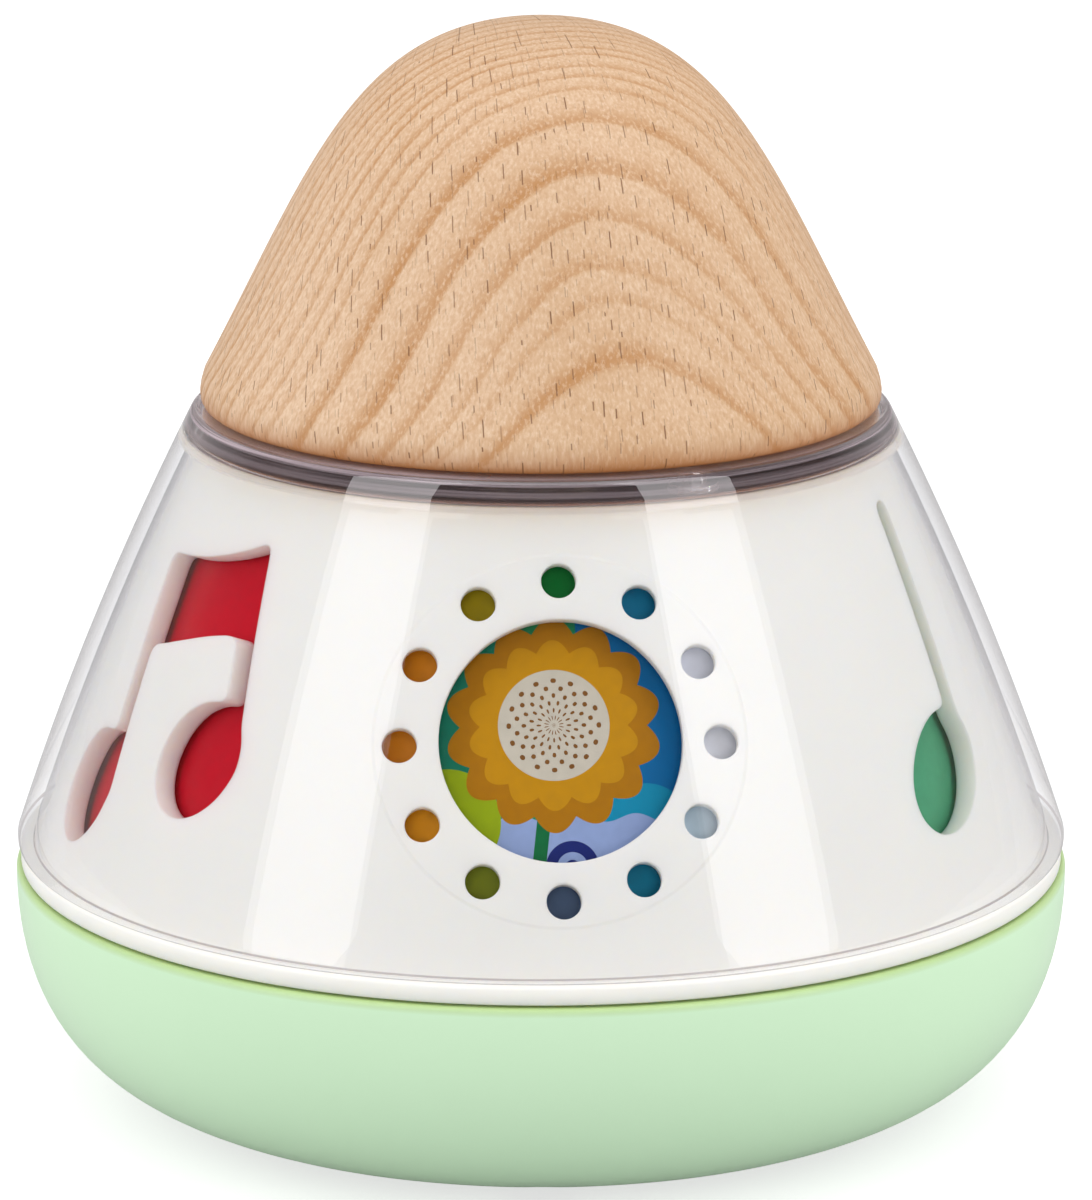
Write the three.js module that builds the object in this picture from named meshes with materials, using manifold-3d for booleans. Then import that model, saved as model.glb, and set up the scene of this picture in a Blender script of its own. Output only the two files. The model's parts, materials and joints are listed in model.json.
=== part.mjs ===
// A wind-up musical toy in the shape of a spinning top. Millimetres, +Z up, the origin at the
// middle of the flat foot, the front window towards -Y.
// The wooden dome is the winder. It turns a shaft that carries the picture drum behind the
// cut-outs and drives the music movement, which hangs upside down under a deck in the base bowl.
import * as THREE from 'three';
import { mergeVertices } from 'three/addons/utils/BufferGeometryUtils.js';
import Module from 'manifold-3d';

const wasm = await Module();
wasm.setup();

// Clearances and cuts that every sub-part shares
const SEAT_GAP = 0.3;
const RUNNING_GAP = 0.15;
const CUT_OVERRUN = 1;

// Base bowl
const BASE_RADIUS = 65.2;
const BASE_HEIGHT = 29.2;
const BASE_WALL = 2.4;
const BASE_RIM_ROUND = 0.7;
const BASE_SIDE_POWER = 3.05;
const BASE_HEEL_POWER = 2.34;
const FOOT_RADIUS = 30;
const FOOT_WIDTH = 5;
const FOOT_RECESS = 0.8;

// Screw wells of the bowl, and the deck bosses above them
const WELL_COUNT = 3;
const WELL_INSET = 18.2;
const WELL_RADIUS = 5.5;
const WELL_BORE_RADIUS = 3.9;
const WELL_SEAT = 3;
const DECK_BOSS_HEIGHT = 3;
const DECK_BOSS_RADIUS = 4.5;

// Deck
const DECK_THICKNESS = 2;
const DECK_EDGE_GAP = 0.8;
const DECK_SHAFT_HOLE_RADIUS = 4.2;

// Window shell
const FLANGE_SETBACK = 0.6;
const FLANGE_HEIGHT = 2.2;
const FLANGE_ROUND = 0.5;
const SPIGOT_DEPTH = 2.2;
const SPIGOT_WALL = 2.4;
const WINDOW_WALL = 3;
const WINDOW_ROOF = 2;
const WINDOW_ROOF_BORE = 28;
const LUG_INSET = 8;
const LUG_RADIUS = 3.6;
const LUG_COUNT = 3;
const LUG_AZIMUTH = THREE.MathUtils.degToRad(30);
const ROOF_BOSS_RADIUS = 2.9;
const ROOF_BOSS_DEPTH = 3.2;

// Clear cover: its flank is a slightly swollen cone that the shells inside follow
const COVER_HEIGHT = 54.3;
const COVER_WALL = 2;
const COVER_ROOF = 3;
const COVER_EDGE = 1;
const COVER_SHOULDER = 0.8;
const COVER_AIR_GAP = 1;
const COVER_SETBACK = 0.25;
const FLANK_TOP_RADIUS = 42.65;
const FLANK_BULGE = 1.17;

// Round windows with their ring of dots
const WINDOW_COUNT = 3;
const WINDOW_AZIMUTH = THREE.MathUtils.degToRad(2.6);
const WINDOW_RISE = 26.2;
const WINDOW_RADIUS = 14.2;
const DOT_COUNT = 12;
const DOT_CIRCLE = 18.7;
const DOT_RADIUS = 2.05;
const CUTTER_DEPTH = 9;

// Notes
const NOTE_RISE = 16;
const NOTE_STEM_WIDTH = 3;
const NOTE_STEM_REACH = 5.3;
const SINGLE_NOTE_AZIMUTHS = [59, 180].map(THREE.MathUtils.degToRad);
const SINGLE_HEAD = { long: 8.9, short: 6.3, tilt: THREE.MathUtils.degToRad(34) };
const SINGLE_STEM_HEIGHT = 33;
const SINGLE_STEM_LEAN = 1.6;
const DOUBLE_NOTE_AZIMUTH = THREE.MathUtils.degToRad(-59);
const DOUBLE_HEAD = { long: 7.8, short: 6.2, tilt: THREE.MathUtils.degToRad(62) };
const NOTE_SPREAD = 22;
const NOTE_HEAD_CLIMB = 8.4;
const BEAM_LENGTH = 18.1;
const BEAM_SHIFT = 1.5;
const BEAM_HEIGHT = 23;
const BEAM_CLIMB = 5.6;
const BEAM_THICKNESS = 11.6;
const BEAM_DIP = 4.2;

// Picture drum and its carrier
const DRUM_GAP = 0.8;
const DRUM_WALL = 1.2;
const DRUM_LIP = 3;
const DRUM_HEADROOM = 4.4;
const CARRIER_CLEARANCE = 0.9;
const CARRIER_SHOULDER = 1.9;
const CARRIER_RING_HEIGHT = 3.9;
const CARRIER_RING_WIDTH = 3;
const CARRIER_TOP_RING = 2;
const CARRIER_TUBE_RADIUS = 4.5;
const SPOKE_COUNT = 4;
const SPOKE_WIDTH = 3;
const SPOKE_HEIGHT = 2.2;

// Wooden dome
const DOME_GAP = 0.4;
const DOME_HEIGHT = 47;
const DOME_SETBACK = 0.15;
const DOME_EDGE_ROUND = 1.4;
const DOME_FLANK_SHARES = [0.663, 0.596];
const DOME_CAP_SHARE = 0.544;
const DOME_RECESS_RADIUS = 33;
const DOME_RECESS_DEPTH = 6;
const DOME_BORE_RADIUS = 5.5;
const DOME_BORE_DEPTH = 5.3;

// Hub, bush, shaft and nut of the winder
const SHAFT_RADIUS = 2;
const SHAFT_END_ROUND = 0.5;
const SLEEVE_RADIUS = 5;
const HUB_RADIUS = 26;
const HUB_THICKNESS = 2.9;
const HUB_BOSS_RADIUS = 9;
const BUSH_WALL = 2.7;
const BUSH_FLANGE_RADIUS = 11;
const BUSH_FLANGE_HEIGHT = 1.2;
const BUSH_DEPTH = 4;
const DOME_SCREW_CIRCLE = 20;
const DOME_SCREW_COUNT = 3;
const NUT_RADIUS = 4;
const NUT_HEIGHT = 3.2;
const CLIP_RADIUS = 3.8;
const CLIP_THICKNESS = 0.6;

// Screws
const SMALL_SHANK_RADIUS = 1.3;
const SMALL_HEAD_RADIUS = 2.6;
const SMALL_HEAD_HEIGHT = 1.2;
const SMALL_SCREW_LENGTH = 5;
const DECK_SCREW_LENGTH = 6;
const DOME_SCREW_LENGTH = 10.5;
const BASE_SHANK_RADIUS = 1.5;
const BASE_HEAD_RADIUS = 3.2;
const BASE_HEAD_HEIGHT = 2;
const BASE_SCREW_LENGTH = 7.4;
const BRACKET_SHANK_RADIUS = 0.8;
const BRACKET_HEAD_RADIUS = 1.5;
const BRACKET_HEAD_HEIGHT = 0.9;
const BRACKET_SCREW_LENGTH = 2.6;
const ROOF_SCREW_COUNT = 3;
const ROOF_SCREW_CIRCLE = 33;

// Bedplate of the music movement. From here on sizes are in the movement's own frame, with Z
// from the plate's deck side down into the bowl, X along the pinned cylinder, and the winding
// shaft at X 0, Y 0.
const MOVEMENT_TURN = THREE.MathUtils.degToRad(-22.5);
const PLATE_THICKNESS = 2.5;
const PLATE_MARGIN = 1.5;
const PLATE_CORNER = 4;
const PLATE_SCREW_INSET = 4.5;
const POST_THICKNESS = 1.5;
const POST_HALF_WIDTH = 3;
const POST_GAP = 1.1;

// Mainspring and its case
const SPRING_CASE_RADIUS = 13.5;
const SPRING_CASE_HEIGHT = 4.2;
const SPRING_CASE_WALL = 0.8;
const SPRING_CASE_BORE = 3;
const SPRING_TAB_WIDTH = 3;
const SPRING_TAB_DEPTH = 1.6;
const SPRING_TAB_COUNT = 3;
const SPRING_TURNS = 5;
const SPRING_RIBBON = 0.4;
const SPRING_INNER_RADIUS = 3.1;

// Gears: a crown wheel drives the cylinder's pinion, and two more pairs drive the governor
const GREAT_WHEEL_TEETH = 34;
const PINION_TEETH = 12;
const CROWN_MODULE = 0.6;
const CROWN_FACE = 2;
const CROWN_DISC = 1.1;
const GREAT_HUB_RADIUS = 4.5;
const GREAT_HUB_HEIGHT = 3.1;
const TRAIN_MODULE = 0.5;
const CYLINDER_WHEEL_TEETH = 26;
const CYLINDER_WHEEL_WIDTH = 1.2;
const IDLER_PINION_TEETH = 8;
const IDLER_PINION_WIDTH = 1.8;
const IDLER_WHEEL_TEETH = 16;
const IDLER_WHEEL_WIDTH = 1.2;
const IDLER_DIP = THREE.MathUtils.degToRad(25);
const BACKLASH = 0.06;
const ADDENDUM_SHARE = 0.9;
const DEDENDUM_SHARE = 1.2;
const TOOTH_ROOT_SHARE = 0.26;
const TOOTH_TIP_SHARE = 0.1;

// Pinned cylinder and comb
const ARBOR_HEIGHT = 12.5;
const ARBOR_RADIUS = 1.2;
const ARBOR_OVERHANG = 0.4;
const CYLINDER_RADIUS = 5.5;
const CYLINDER_MARGIN = 0.6;
const CYLINDER_GAP = 0.9;
const PIN_HEIGHT = 0.8;
const PIN_RADIUS = 0.24;
const PIN_COUNT = 27;
const PIN_STEP = 7;
const TINE_COUNT = 18;
const TINE_PITCH = 1.05;
const TINE_SLOT = 0.35;
const TINE_LONGEST = 15;
const TINE_SHORTEST = 10;
const COMB_THICKNESS = 1;
const COMB_BACK = 7.4;
const COMB_SCREW_SPACING = 10.5;

// Governor
const CHEEK_THICKNESS = 1;
const CHEEK_MARGIN = 2.4;
const TRAIN_SIDE_GAP = 0.8;
const IDLER_ARBOR_RADIUS = 0.8;
const WORM_CORE_RADIUS = 1.15;
const WORM_THREAD_RADIUS = 0.28;
const WORM_THREAD_CIRCLE = 1.4;
const WORM_DISTANCE = 5.6;
const WORM_LENGTH = 5.6;
const PIVOT_RADIUS = 0.5;
const FAN_RADIUS = 4.6;
const FAN_HEIGHT = 2.8;
const FAN_THICKNESS = 0.5;
const FAN_HUB_RADIUS = 1.4;
const FAN_CLEARANCE = 0.4;
const ARM_WIDTH = 4;

// Facets round the big shells, the middling turned pieces and the small ones
const SHELL_SIDES = 24;
const TURNED_SIDES = 16;
const ROD_SIDES = 8;
const SCREW_SIDES = 6;
const PIN_SIDES = 4;
const FLANK_STEPS = 2;
const BOWL_STEPS = 5;
const CROWN_STEPS = 8;
const BEVEL_STEPS = 1;
const CUT_STEPS = 9;
const HEAD_STEPS = 6;
const DOT_STEPS = 3;
const FLAT_STEPS = 4;
const WORM_STEPS = 8;
const THREAD_STEPS = 2;
const TAU = 2 * Math.PI;
const QUARTER = Math.PI / 2;

// Levels of the stack, from the foot up
const flangeFloor = BASE_HEIGHT + SEAT_GAP;
const flangeTop = flangeFloor + FLANGE_HEIGHT;
const coverFloor = flangeTop + SEAT_GAP;
const coverTop = coverFloor + COVER_HEIGHT;
const roofFloor = coverTop - COVER_ROOF;
const windowTop = roofFloor - SEAT_GAP;
const domeFloor = coverTop + DOME_GAP;
const domeTop = domeFloor + DOME_HEIGHT;
const spigotFloor = flangeFloor - SPIGOT_DEPTH;
const deckTop = spigotFloor - SEAT_GAP;
const deckFloor = deckTop - DECK_THICKNESS;
const wellTop = deckFloor - DECK_BOSS_HEIGHT - SEAT_GAP;
const bowlFloor = FOOT_RECESS + BASE_WALL;
const carrierFloor = flangeTop + CARRIER_CLEARANCE;
const drumFloor = carrierFloor + CARRIER_SHOULDER + SEAT_GAP;
const drumTop = windowTop - DRUM_HEADROOM;
const carrierTop = drumTop - DRUM_WALL - SEAT_GAP;
const sleeveFloor = carrierTop + SEAT_GAP;
const bushFlangeFloor = coverTop + SEAT_GAP;
const hubBossFloor = bushFlangeFloor + BUSH_FLANGE_HEIGHT + SEAT_GAP;
const hubTop = domeFloor + DOME_RECESS_DEPTH - SEAT_GAP;
const hubFloor = hubTop - HUB_THICKNESS;
const nutFloor = hubTop + SEAT_GAP;
const boreTop = domeFloor + DOME_RECESS_DEPTH + DOME_BORE_DEPTH;
const plateLevel = deckFloor - SEAT_GAP;

// Radii that follow the bowl and the cover
const wellCircle = BASE_RADIUS - WELL_INSET;
const lugCircle = BASE_RADIUS - LUG_INSET;
const flankFootRadius = BASE_RADIUS - COVER_SETBACK;
const domeRadius = FLANK_TOP_RADIUS - DOME_SETBACK;

// Insets of the nested shells from the cover's flank
const windowInset = COVER_WALL + COVER_AIR_GAP;
const drumInset = windowInset + WINDOW_WALL + DRUM_GAP;
const carrierInset = drumInset + DRUM_WALL + SEAT_GAP;
const holeOf = (shankRadius) => shankRadius + SEAT_GAP;
const shaftHole = SHAFT_RADIUS + SEAT_GAP;

// Places in the movement's frame
const crownRadius = (GREAT_WHEEL_TEETH * CROWN_MODULE) / 2;
const pinionRadius = (PINION_TEETH * CROWN_MODULE) / 2;
const pitchLevel = ARBOR_HEIGHT - pinionRadius;
const crownRoot = pitchLevel - DEDENDUM_SHARE * CROWN_MODULE;
const crownTip = pitchLevel + ADDENDUM_SHARE * CROWN_MODULE - BACKLASH;
const greatWheelFloor = crownRoot - CROWN_DISC;
const greatHubTop = greatWheelFloor + GREAT_HUB_HEIGHT;
const clipFloor = greatHubTop + SEAT_GAP;
const shaftDepth = clipFloor + CLIP_THICKNESS + SEAT_GAP;
const postStart = SPRING_CASE_RADIUS + POST_GAP;
const postEnd = postStart + POST_THICKNESS;
const cylinderStart = postEnd + CYLINDER_GAP;
const cylinderLength = TINE_COUNT * TINE_PITCH + 2 * CYLINDER_MARGIN;
const cylinderEnd = cylinderStart + cylinderLength;
const leftCheek = cylinderEnd + CYLINDER_GAP;
const cylinderWheelStart = leftCheek + CHEEK_THICKNESS + TRAIN_SIDE_GAP;
const cylinderWheelMiddle = cylinderWheelStart + CYLINDER_WHEEL_WIDTH / 2;
const idlerWheelStart = cylinderWheelMiddle + IDLER_PINION_WIDTH / 2 + TRAIN_SIDE_GAP;
const governorX = idlerWheelStart + IDLER_WHEEL_WIDTH / 2;
const rightCheek = idlerWheelStart + IDLER_WHEEL_WIDTH + TRAIN_SIDE_GAP + CHEEK_THICKNESS / 2;
const cheekEnd = rightCheek + CHEEK_THICKNESS;
const trainDistance = ((CYLINDER_WHEEL_TEETH + IDLER_PINION_TEETH) * TRAIN_MODULE) / 2 + BACKLASH;
const idlerY = -trainDistance * Math.cos(IDLER_DIP);
const idlerZ = ARBOR_HEIGHT - trainDistance * Math.sin(IDLER_DIP);
const governorY = idlerY - WORM_DISTANCE;
const wormLead = Math.PI * TRAIN_MODULE;
const bracketFloor = PLATE_THICKNESS + SEAT_GAP;
const bracketFoot = bracketFloor + CHEEK_THICKNESS;
const idlerWheelTip = (IDLER_WHEEL_TEETH / 2 + ADDENDUM_SHARE) * TRAIN_MODULE;
const fanFloor = idlerZ + idlerWheelTip + FAN_CLEARANCE;
const armFloor = fanFloor + FAN_HEIGHT + FAN_CLEARANCE;
const armTop = armFloor + CHEEK_THICKNESS;
const bracketBack = governorY - FAN_RADIUS - TRAIN_SIDE_GAP - CHEEK_THICKNESS;
const combTip = CYLINDER_RADIUS + PIN_HEIGHT + SEAT_GAP;
const combRoot = combTip + TINE_LONGEST;
const combEnd = combRoot + COMB_BACK;
const combFloor = ARBOR_HEIGHT - COMB_THICKNESS / 2;
const combMiddle = cylinderStart + cylinderLength / 2;
const combScrewY = combRoot + COMB_BACK / 2;
const stepTop = combFloor - SEAT_GAP;
const plateLeft = -SPRING_CASE_RADIUS - PLATE_MARGIN;
const plateRight = cheekEnd + PLATE_MARGIN;
const plateFront = bracketBack - PLATE_MARGIN;
const plateBack = combEnd + PLATE_MARGIN;
const plateScrews = [
  [plateLeft + PLATE_SCREW_INSET, plateFront + PLATE_SCREW_INSET],
  [plateLeft + PLATE_SCREW_INSET, plateBack - PLATE_SCREW_INSET],
  [plateRight - PLATE_SCREW_INSET, plateBack - PLATE_SCREW_INSET],
];
const bracketScrews = [
  [cylinderWheelMiddle, POST_HALF_WIDTH - BRACKET_HEAD_RADIUS],
  [cylinderWheelMiddle, governorY],
];

// Finishes
const MINT = { color: 0xcdeccb, roughness: 0.45, metalness: 0 };
const WARM_WHITE = { color: 0xeae7e2, roughness: 0.5, metalness: 0 };
const CLEAR = { color: 0xf2f2f5, roughness: 0.08, metalness: 0, transparent: true, opacity: 0.25 };
const PRINT = { color: 0xc41e32, roughness: 0.4, metalness: 0 };
const BEECH = { color: 0xdeb48c, roughness: 0.55, metalness: 0 };
const GREY_PLASTIC = { color: 0xb9b9b4, roughness: 0.5, metalness: 0 };
const ACETAL = { color: 0xf0ede4, roughness: 0.4, metalness: 0 };
const STEEL = { color: 0xb8babd, roughness: 0.35, metalness: 1 };
const ZINC = { color: 0x9d9fa1, roughness: 0.55, metalness: 1 };
const BRASS = { color: 0xc9a352, roughness: 0.35, metalness: 1 };

// A closed geometry becomes a solid that can be joined and cut. Triangles that vanish where a
// turned profile meets its axis are left out.
function solid(geometry) {
  const bare = new THREE.BufferGeometry();
  bare.setAttribute('position', geometry.getAttribute('position'));
  bare.setIndex(geometry.index);
  const merged = mergeVertices(bare);
  const corners = merged.index.array;
  const kept = [];
  for (let i = 0; i < corners.length; i += 3) {
    const [a, b, c] = corners.slice(i, i + 3);
    if (a !== b && b !== c && c !== a) {
      kept.push(a, b, c);
    }
  }
  return new wasm.Manifold(new wasm.Mesh({
    numProp: 3,
    vertProperties: new Float32Array(merged.getAttribute('position').array),
    triVerts: new Uint32Array(kept),
  }));
}

function join(first, ...others) {
  return others.reduce((body, other) => body.add(other), first);
}

function cut(body, ...tools) {
  return tools.reduce((rest, tool) => rest.subtract(tool), body);
}

// A named piece in a group
function piece(group, name, body, finish, place = [0, 0, 0]) {
  const { vertProperties, triVerts } = body.getMesh();
  const geometry = new THREE.BufferGeometry();
  geometry.setAttribute('position', new THREE.BufferAttribute(vertProperties, 3));
  geometry.setIndex(new THREE.BufferAttribute(triVerts, 1));
  geometry.computeVertexNormals();
  const mesh = new THREE.Mesh(geometry, new THREE.MeshStandardMaterial(finish));
  mesh.name = name;
  mesh.position.set(...place);
  group.add(mesh);
  return mesh;
}

// A profile of [radius, height] points, up the outside and down the inside, turned about Z
function turned(profile, sides = TURNED_SIDES) {
  const points = [...profile, profile[0]].map(([radius, height]) => new THREE.Vector2(radius, height));
  return solid(new THREE.LatheGeometry(points, sides).rotateX(QUARTER));
}

function rod(radius, from, to, [x, y] = [0, 0], sides = ROD_SIDES) {
  const geometry = new THREE.CylinderGeometry(radius, radius, to - from, sides);
  return solid(geometry.rotateX(QUARTER).translate(x, y, (from + to) / 2));
}

// A thick round body about the shaft, and the bore that passes the shaft through a body
function post(radius, from, to) {
  return rod(radius, from, to, [0, 0], TURNED_SIDES);
}

function shaftBore(from, to, gap = SEAT_GAP) {
  return post(SHAFT_RADIUS + gap, from - CUT_OVERRUN, to + CUT_OVERRUN);
}

function tube(outer, inner, from, to, sides = TURNED_SIDES) {
  return turned([[inner, from], [outer, from], [outer, to], [inner, to]], sides);
}

function block(from, to) {
  const size = to.map((value, i) => value - from[i]);
  const middle = to.map((value, i) => (value + from[i]) / 2);
  return new THREE.BoxGeometry(...size).translate(...middle);
}

function box(from, to) {
  return solid(block(from, to));
}

function outline(points) {
  return new THREE.Shape(points.map(([x, y]) => new THREE.Vector2(x, y)));
}

function extrude(shape, depth) {
  return new THREE.ExtrudeGeometry(shape, { depth, bevelEnabled: false, curveSegments: FLAT_STEPS });
}

// A flat outline in X and Y, between two levels
function slab(shape, from, to) {
  return solid(extrude(shape, to - from).translate(0, 0, from));
}

// An outline drawn in Y and Z, between two places along X
const ACROSS = new THREE.Matrix4().makeBasis(
  new THREE.Vector3(0, 1, 0),
  new THREE.Vector3(0, 0, 1),
  new THREE.Vector3(1, 0, 0),
);

function bar(shape, from, to, [y, z] = [0, 0]) {
  return extrude(shape, to - from).applyMatrix4(ACROSS).translate(from, y, z);
}

function slice(shape, from, to, axis) {
  return solid(bar(shape, from, to, axis));
}

function axle(radius, from, to, [y, z], sides = ROD_SIDES) {
  const geometry = new THREE.CylinderGeometry(radius, radius, to - from, sides);
  return solid(geometry.rotateZ(QUARTER).translate((from + to) / 2, y, z));
}

// A point on a circle, by its azimuth from the front towards +X
function around(radius, azimuth) {
  return [radius * Math.sin(azimuth), -radius * Math.cos(azimuth)];
}

function ring(count, radius, first = 0) {
  return Array.from({ length: count }, (_, i) => around(radius, first + (TAU * i) / count));
}

// The points that round a corner
function corner(from, middle, to, steps = BEVEL_STEPS) {
  const curve = new THREE.QuadraticBezierCurve(
    new THREE.Vector2(...from),
    new THREE.Vector2(...middle),
    new THREE.Vector2(...to),
  );
  return curve.getPoints(steps).map((point) => [point.x, point.y]);
}

// The cover's flank: its radius and its slope at a level, and the points of a stretch of it
const flankSpan = COVER_HEIGHT - COVER_EDGE;

function flankRadius(level) {
  const share = (coverTop - level) / flankSpan;
  const straight = FLANK_TOP_RADIUS + (flankFootRadius - FLANK_TOP_RADIUS) * share;
  return straight + 4 * FLANK_BULGE * share * (1 - share);
}

function flankSlope(level) {
  const share = (coverTop - level) / flankSpan;
  return -(flankFootRadius - FLANK_TOP_RADIUS + 4 * FLANK_BULGE * (1 - 2 * share)) / flankSpan;
}

function flank(from, to, inset, steps = FLANK_STEPS) {
  return Array.from({ length: steps + 1 }, (_, i) => {
    const level = THREE.MathUtils.lerp(from, to, i / steps);
    return [flankRadius(level) - inset, level];
  });
}

// The bowl's flowing side, from its foot up to its rim
function bowlSide(rimRadius, floor, steps = BOWL_STEPS) {
  return Array.from({ length: steps + 1 }, (_, i) => {
    const turn = QUARTER * (1 - i / steps);
    const radius = FOOT_RADIUS + (rimRadius - FOOT_RADIUS) * Math.cos(turn) ** (2 / BASE_SIDE_POWER);
    const level = BASE_HEIGHT - (BASE_HEIGHT - floor) * Math.sin(turn) ** (2 / BASE_HEEL_POWER);
    return [radius, level];
  });
}

// A screw with its head below Z 0 and its shank above
function screw(headRadius, headHeight, shankRadius, length) {
  return turned([
    [0, -headHeight],
    [headRadius, -headHeight / 2],
    [headRadius, 0],
    [shankRadius, 0],
    [shankRadius, length - shankRadius],
    [0, length],
  ], SCREW_SIDES);
}

function smallScrew(length = SMALL_SCREW_LENGTH) {
  return screw(SMALL_HEAD_RADIUS, SMALL_HEAD_HEIGHT, SMALL_SHANK_RADIUS, length);
}

function screws(group, name, places, level, body, pointsDown = false) {
  places.forEach(([x, y], i) => {
    const mesh = piece(group, `${name}_${i + 1}`, body, STEEL, [x, y, level]);
    mesh.rotation.x = pointsDown ? Math.PI : 0;
  });
}

const wellPlaces = ring(WELL_COUNT, wellCircle);
const lugPlaces = ring(LUG_COUNT, lugCircle, LUG_AZIMUTH);
const roofScrewPlaces = ring(ROOF_SCREW_COUNT, ROOF_SCREW_CIRCLE, LUG_AZIMUTH);
const domeScrewPlaces = ring(DOME_SCREW_COUNT, DOME_SCREW_CIRCLE);

// Base bowl: the cavity goes round the screw wells, which stand on the floor
function baseBowl() {
  const side = bowlSide(BASE_RADIUS, 0).slice(0, -1);
  const rimInside = BASE_RADIUS - BASE_WALL;
  const body = turned([
    [0, FOOT_RECESS],
    [FOOT_RADIUS - FOOT_WIDTH - FOOT_RECESS, FOOT_RECESS],
    [FOOT_RADIUS - FOOT_WIDTH, 0],
    ...side,
    ...corner(
      [BASE_RADIUS, BASE_HEIGHT - BASE_RIM_ROUND],
      [BASE_RADIUS, BASE_HEIGHT],
      [BASE_RADIUS - BASE_RIM_ROUND, BASE_HEIGHT],
    ),
    [0, BASE_HEIGHT],
  ], SHELL_SIDES);
  const cavity = turned([
    [0, bowlFloor],
    ...bowlSide(rimInside, bowlFloor),
    [rimInside, BASE_HEIGHT + CUT_OVERRUN],
    [0, BASE_HEIGHT + CUT_OVERRUN],
  ], SHELL_SIDES);
  const wells = wellPlaces.map((place) => rod(WELL_RADIUS, 0, wellTop, place));
  const bores = wellPlaces.flatMap((place) => [
    rod(WELL_BORE_RADIUS, -CUT_OVERRUN, wellTop - WELL_SEAT, place),
    rod(holeOf(BASE_SHANK_RADIUS), 0, wellTop + CUT_OVERRUN, place),
  ]);
  return cut(body, cut(cavity, ...wells), ...bores);
}

// Deck: a disc with a boss over each well, and holes for the shaft and the screws
function deckPoint([x, y]) {
  const point = new THREE.Vector2(x, -y).rotateAround(new THREE.Vector2(), MOVEMENT_TURN);
  return [point.x, point.y];
}

function baseDeck() {
  const edge = BASE_RADIUS - BASE_WALL - DECK_EDGE_GAP;
  const disc = tube(edge, DECK_SHAFT_HOLE_RADIUS, deckFloor, deckTop, SHELL_SIDES);
  const bossFloor = deckFloor - DECK_BOSS_HEIGHT;
  const bosses = wellPlaces.map((place) => (
    rod(DECK_BOSS_RADIUS, bossFloor, deckTop, place)
  ));
  const screwTip = wellTop - WELL_SEAT - SEAT_GAP + BASE_SCREW_LENGTH;
  const blind = wellPlaces.map((place) => (
    rod(holeOf(BASE_SHANK_RADIUS), bossFloor - CUT_OVERRUN, screwTip + SEAT_GAP, place)
  ));
  const through = [...lugPlaces, ...plateScrews.map(deckPoint)].map((place) => (
    rod(holeOf(SMALL_SHANK_RADIUS), deckFloor - CUT_OVERRUN, deckTop + CUT_OVERRUN, place)
  ));
  return cut(join(disc, ...bosses), ...blind, ...through);
}

// The frame of a cut-out: its outline lies in the plane that touches the flank there
function flankFrame(azimuth, level) {
  const sideways = new THREE.Vector3(Math.cos(azimuth), Math.sin(azimuth), 0);
  const [x, y] = around(1, azimuth);
  const slope = flankSlope(level);
  const upward = new THREE.Vector3(x * slope, y * slope, 1).normalize();
  const outward = new THREE.Vector3().crossVectors(sideways, upward);
  const place = around(flankRadius(level) - windowInset, azimuth);
  return new THREE.Matrix4().makeBasis(sideways, upward, outward).setPosition(...place, level);
}

function flankCut(shape, frame, steps = CUT_STEPS) {
  const geometry = new THREE.ExtrudeGeometry(shape, {
    depth: CUTTER_DEPTH + CUT_OVERRUN,
    bevelEnabled: false,
    curveSegments: steps,
  });
  return solid(geometry.translate(0, 0, -CUTTER_DEPTH).applyMatrix4(frame));
}

function roundWindow(azimuth) {
  const frame = flankFrame(azimuth, flangeTop + WINDOW_RISE);
  const pane = new THREE.Shape().absarc(0, 0, WINDOW_RADIUS, 0, TAU);
  const dots = ring(DOT_COUNT, DOT_CIRCLE).map(([x, y]) => (
    new THREE.Shape().absarc(x, y, DOT_RADIUS, 0, TAU)
  ));
  return [flankCut(pane, frame), ...dots.map((dot) => flankCut(dot, frame, DOT_STEPS))];
}

// A leaning bar between two points, level across its ends
function stem([footX, footY], [topX, topY]) {
  const half = NOTE_STEM_WIDTH / 2;
  return outline([
    [footX - half, footY],
    [footX + half, footY],
    [topX + half, topY],
    [topX - half, topY],
  ]);
}

function noteHead([x, y], { long, short, tilt }) {
  return new THREE.Shape().absellipse(x, y, long, short, 0, TAU, false, tilt);
}

function singleNote(azimuth) {
  const frame = flankFrame(azimuth, flangeTop + NOTE_RISE);
  const bar = stem([NOTE_STEM_REACH, 0], [NOTE_STEM_REACH + SINGLE_STEM_LEAN, SINGLE_STEM_HEIGHT]);
  return [flankCut(noteHead([0, 0], SINGLE_HEAD), frame, HEAD_STEPS), flankCut(bar, frame)];
}

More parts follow.
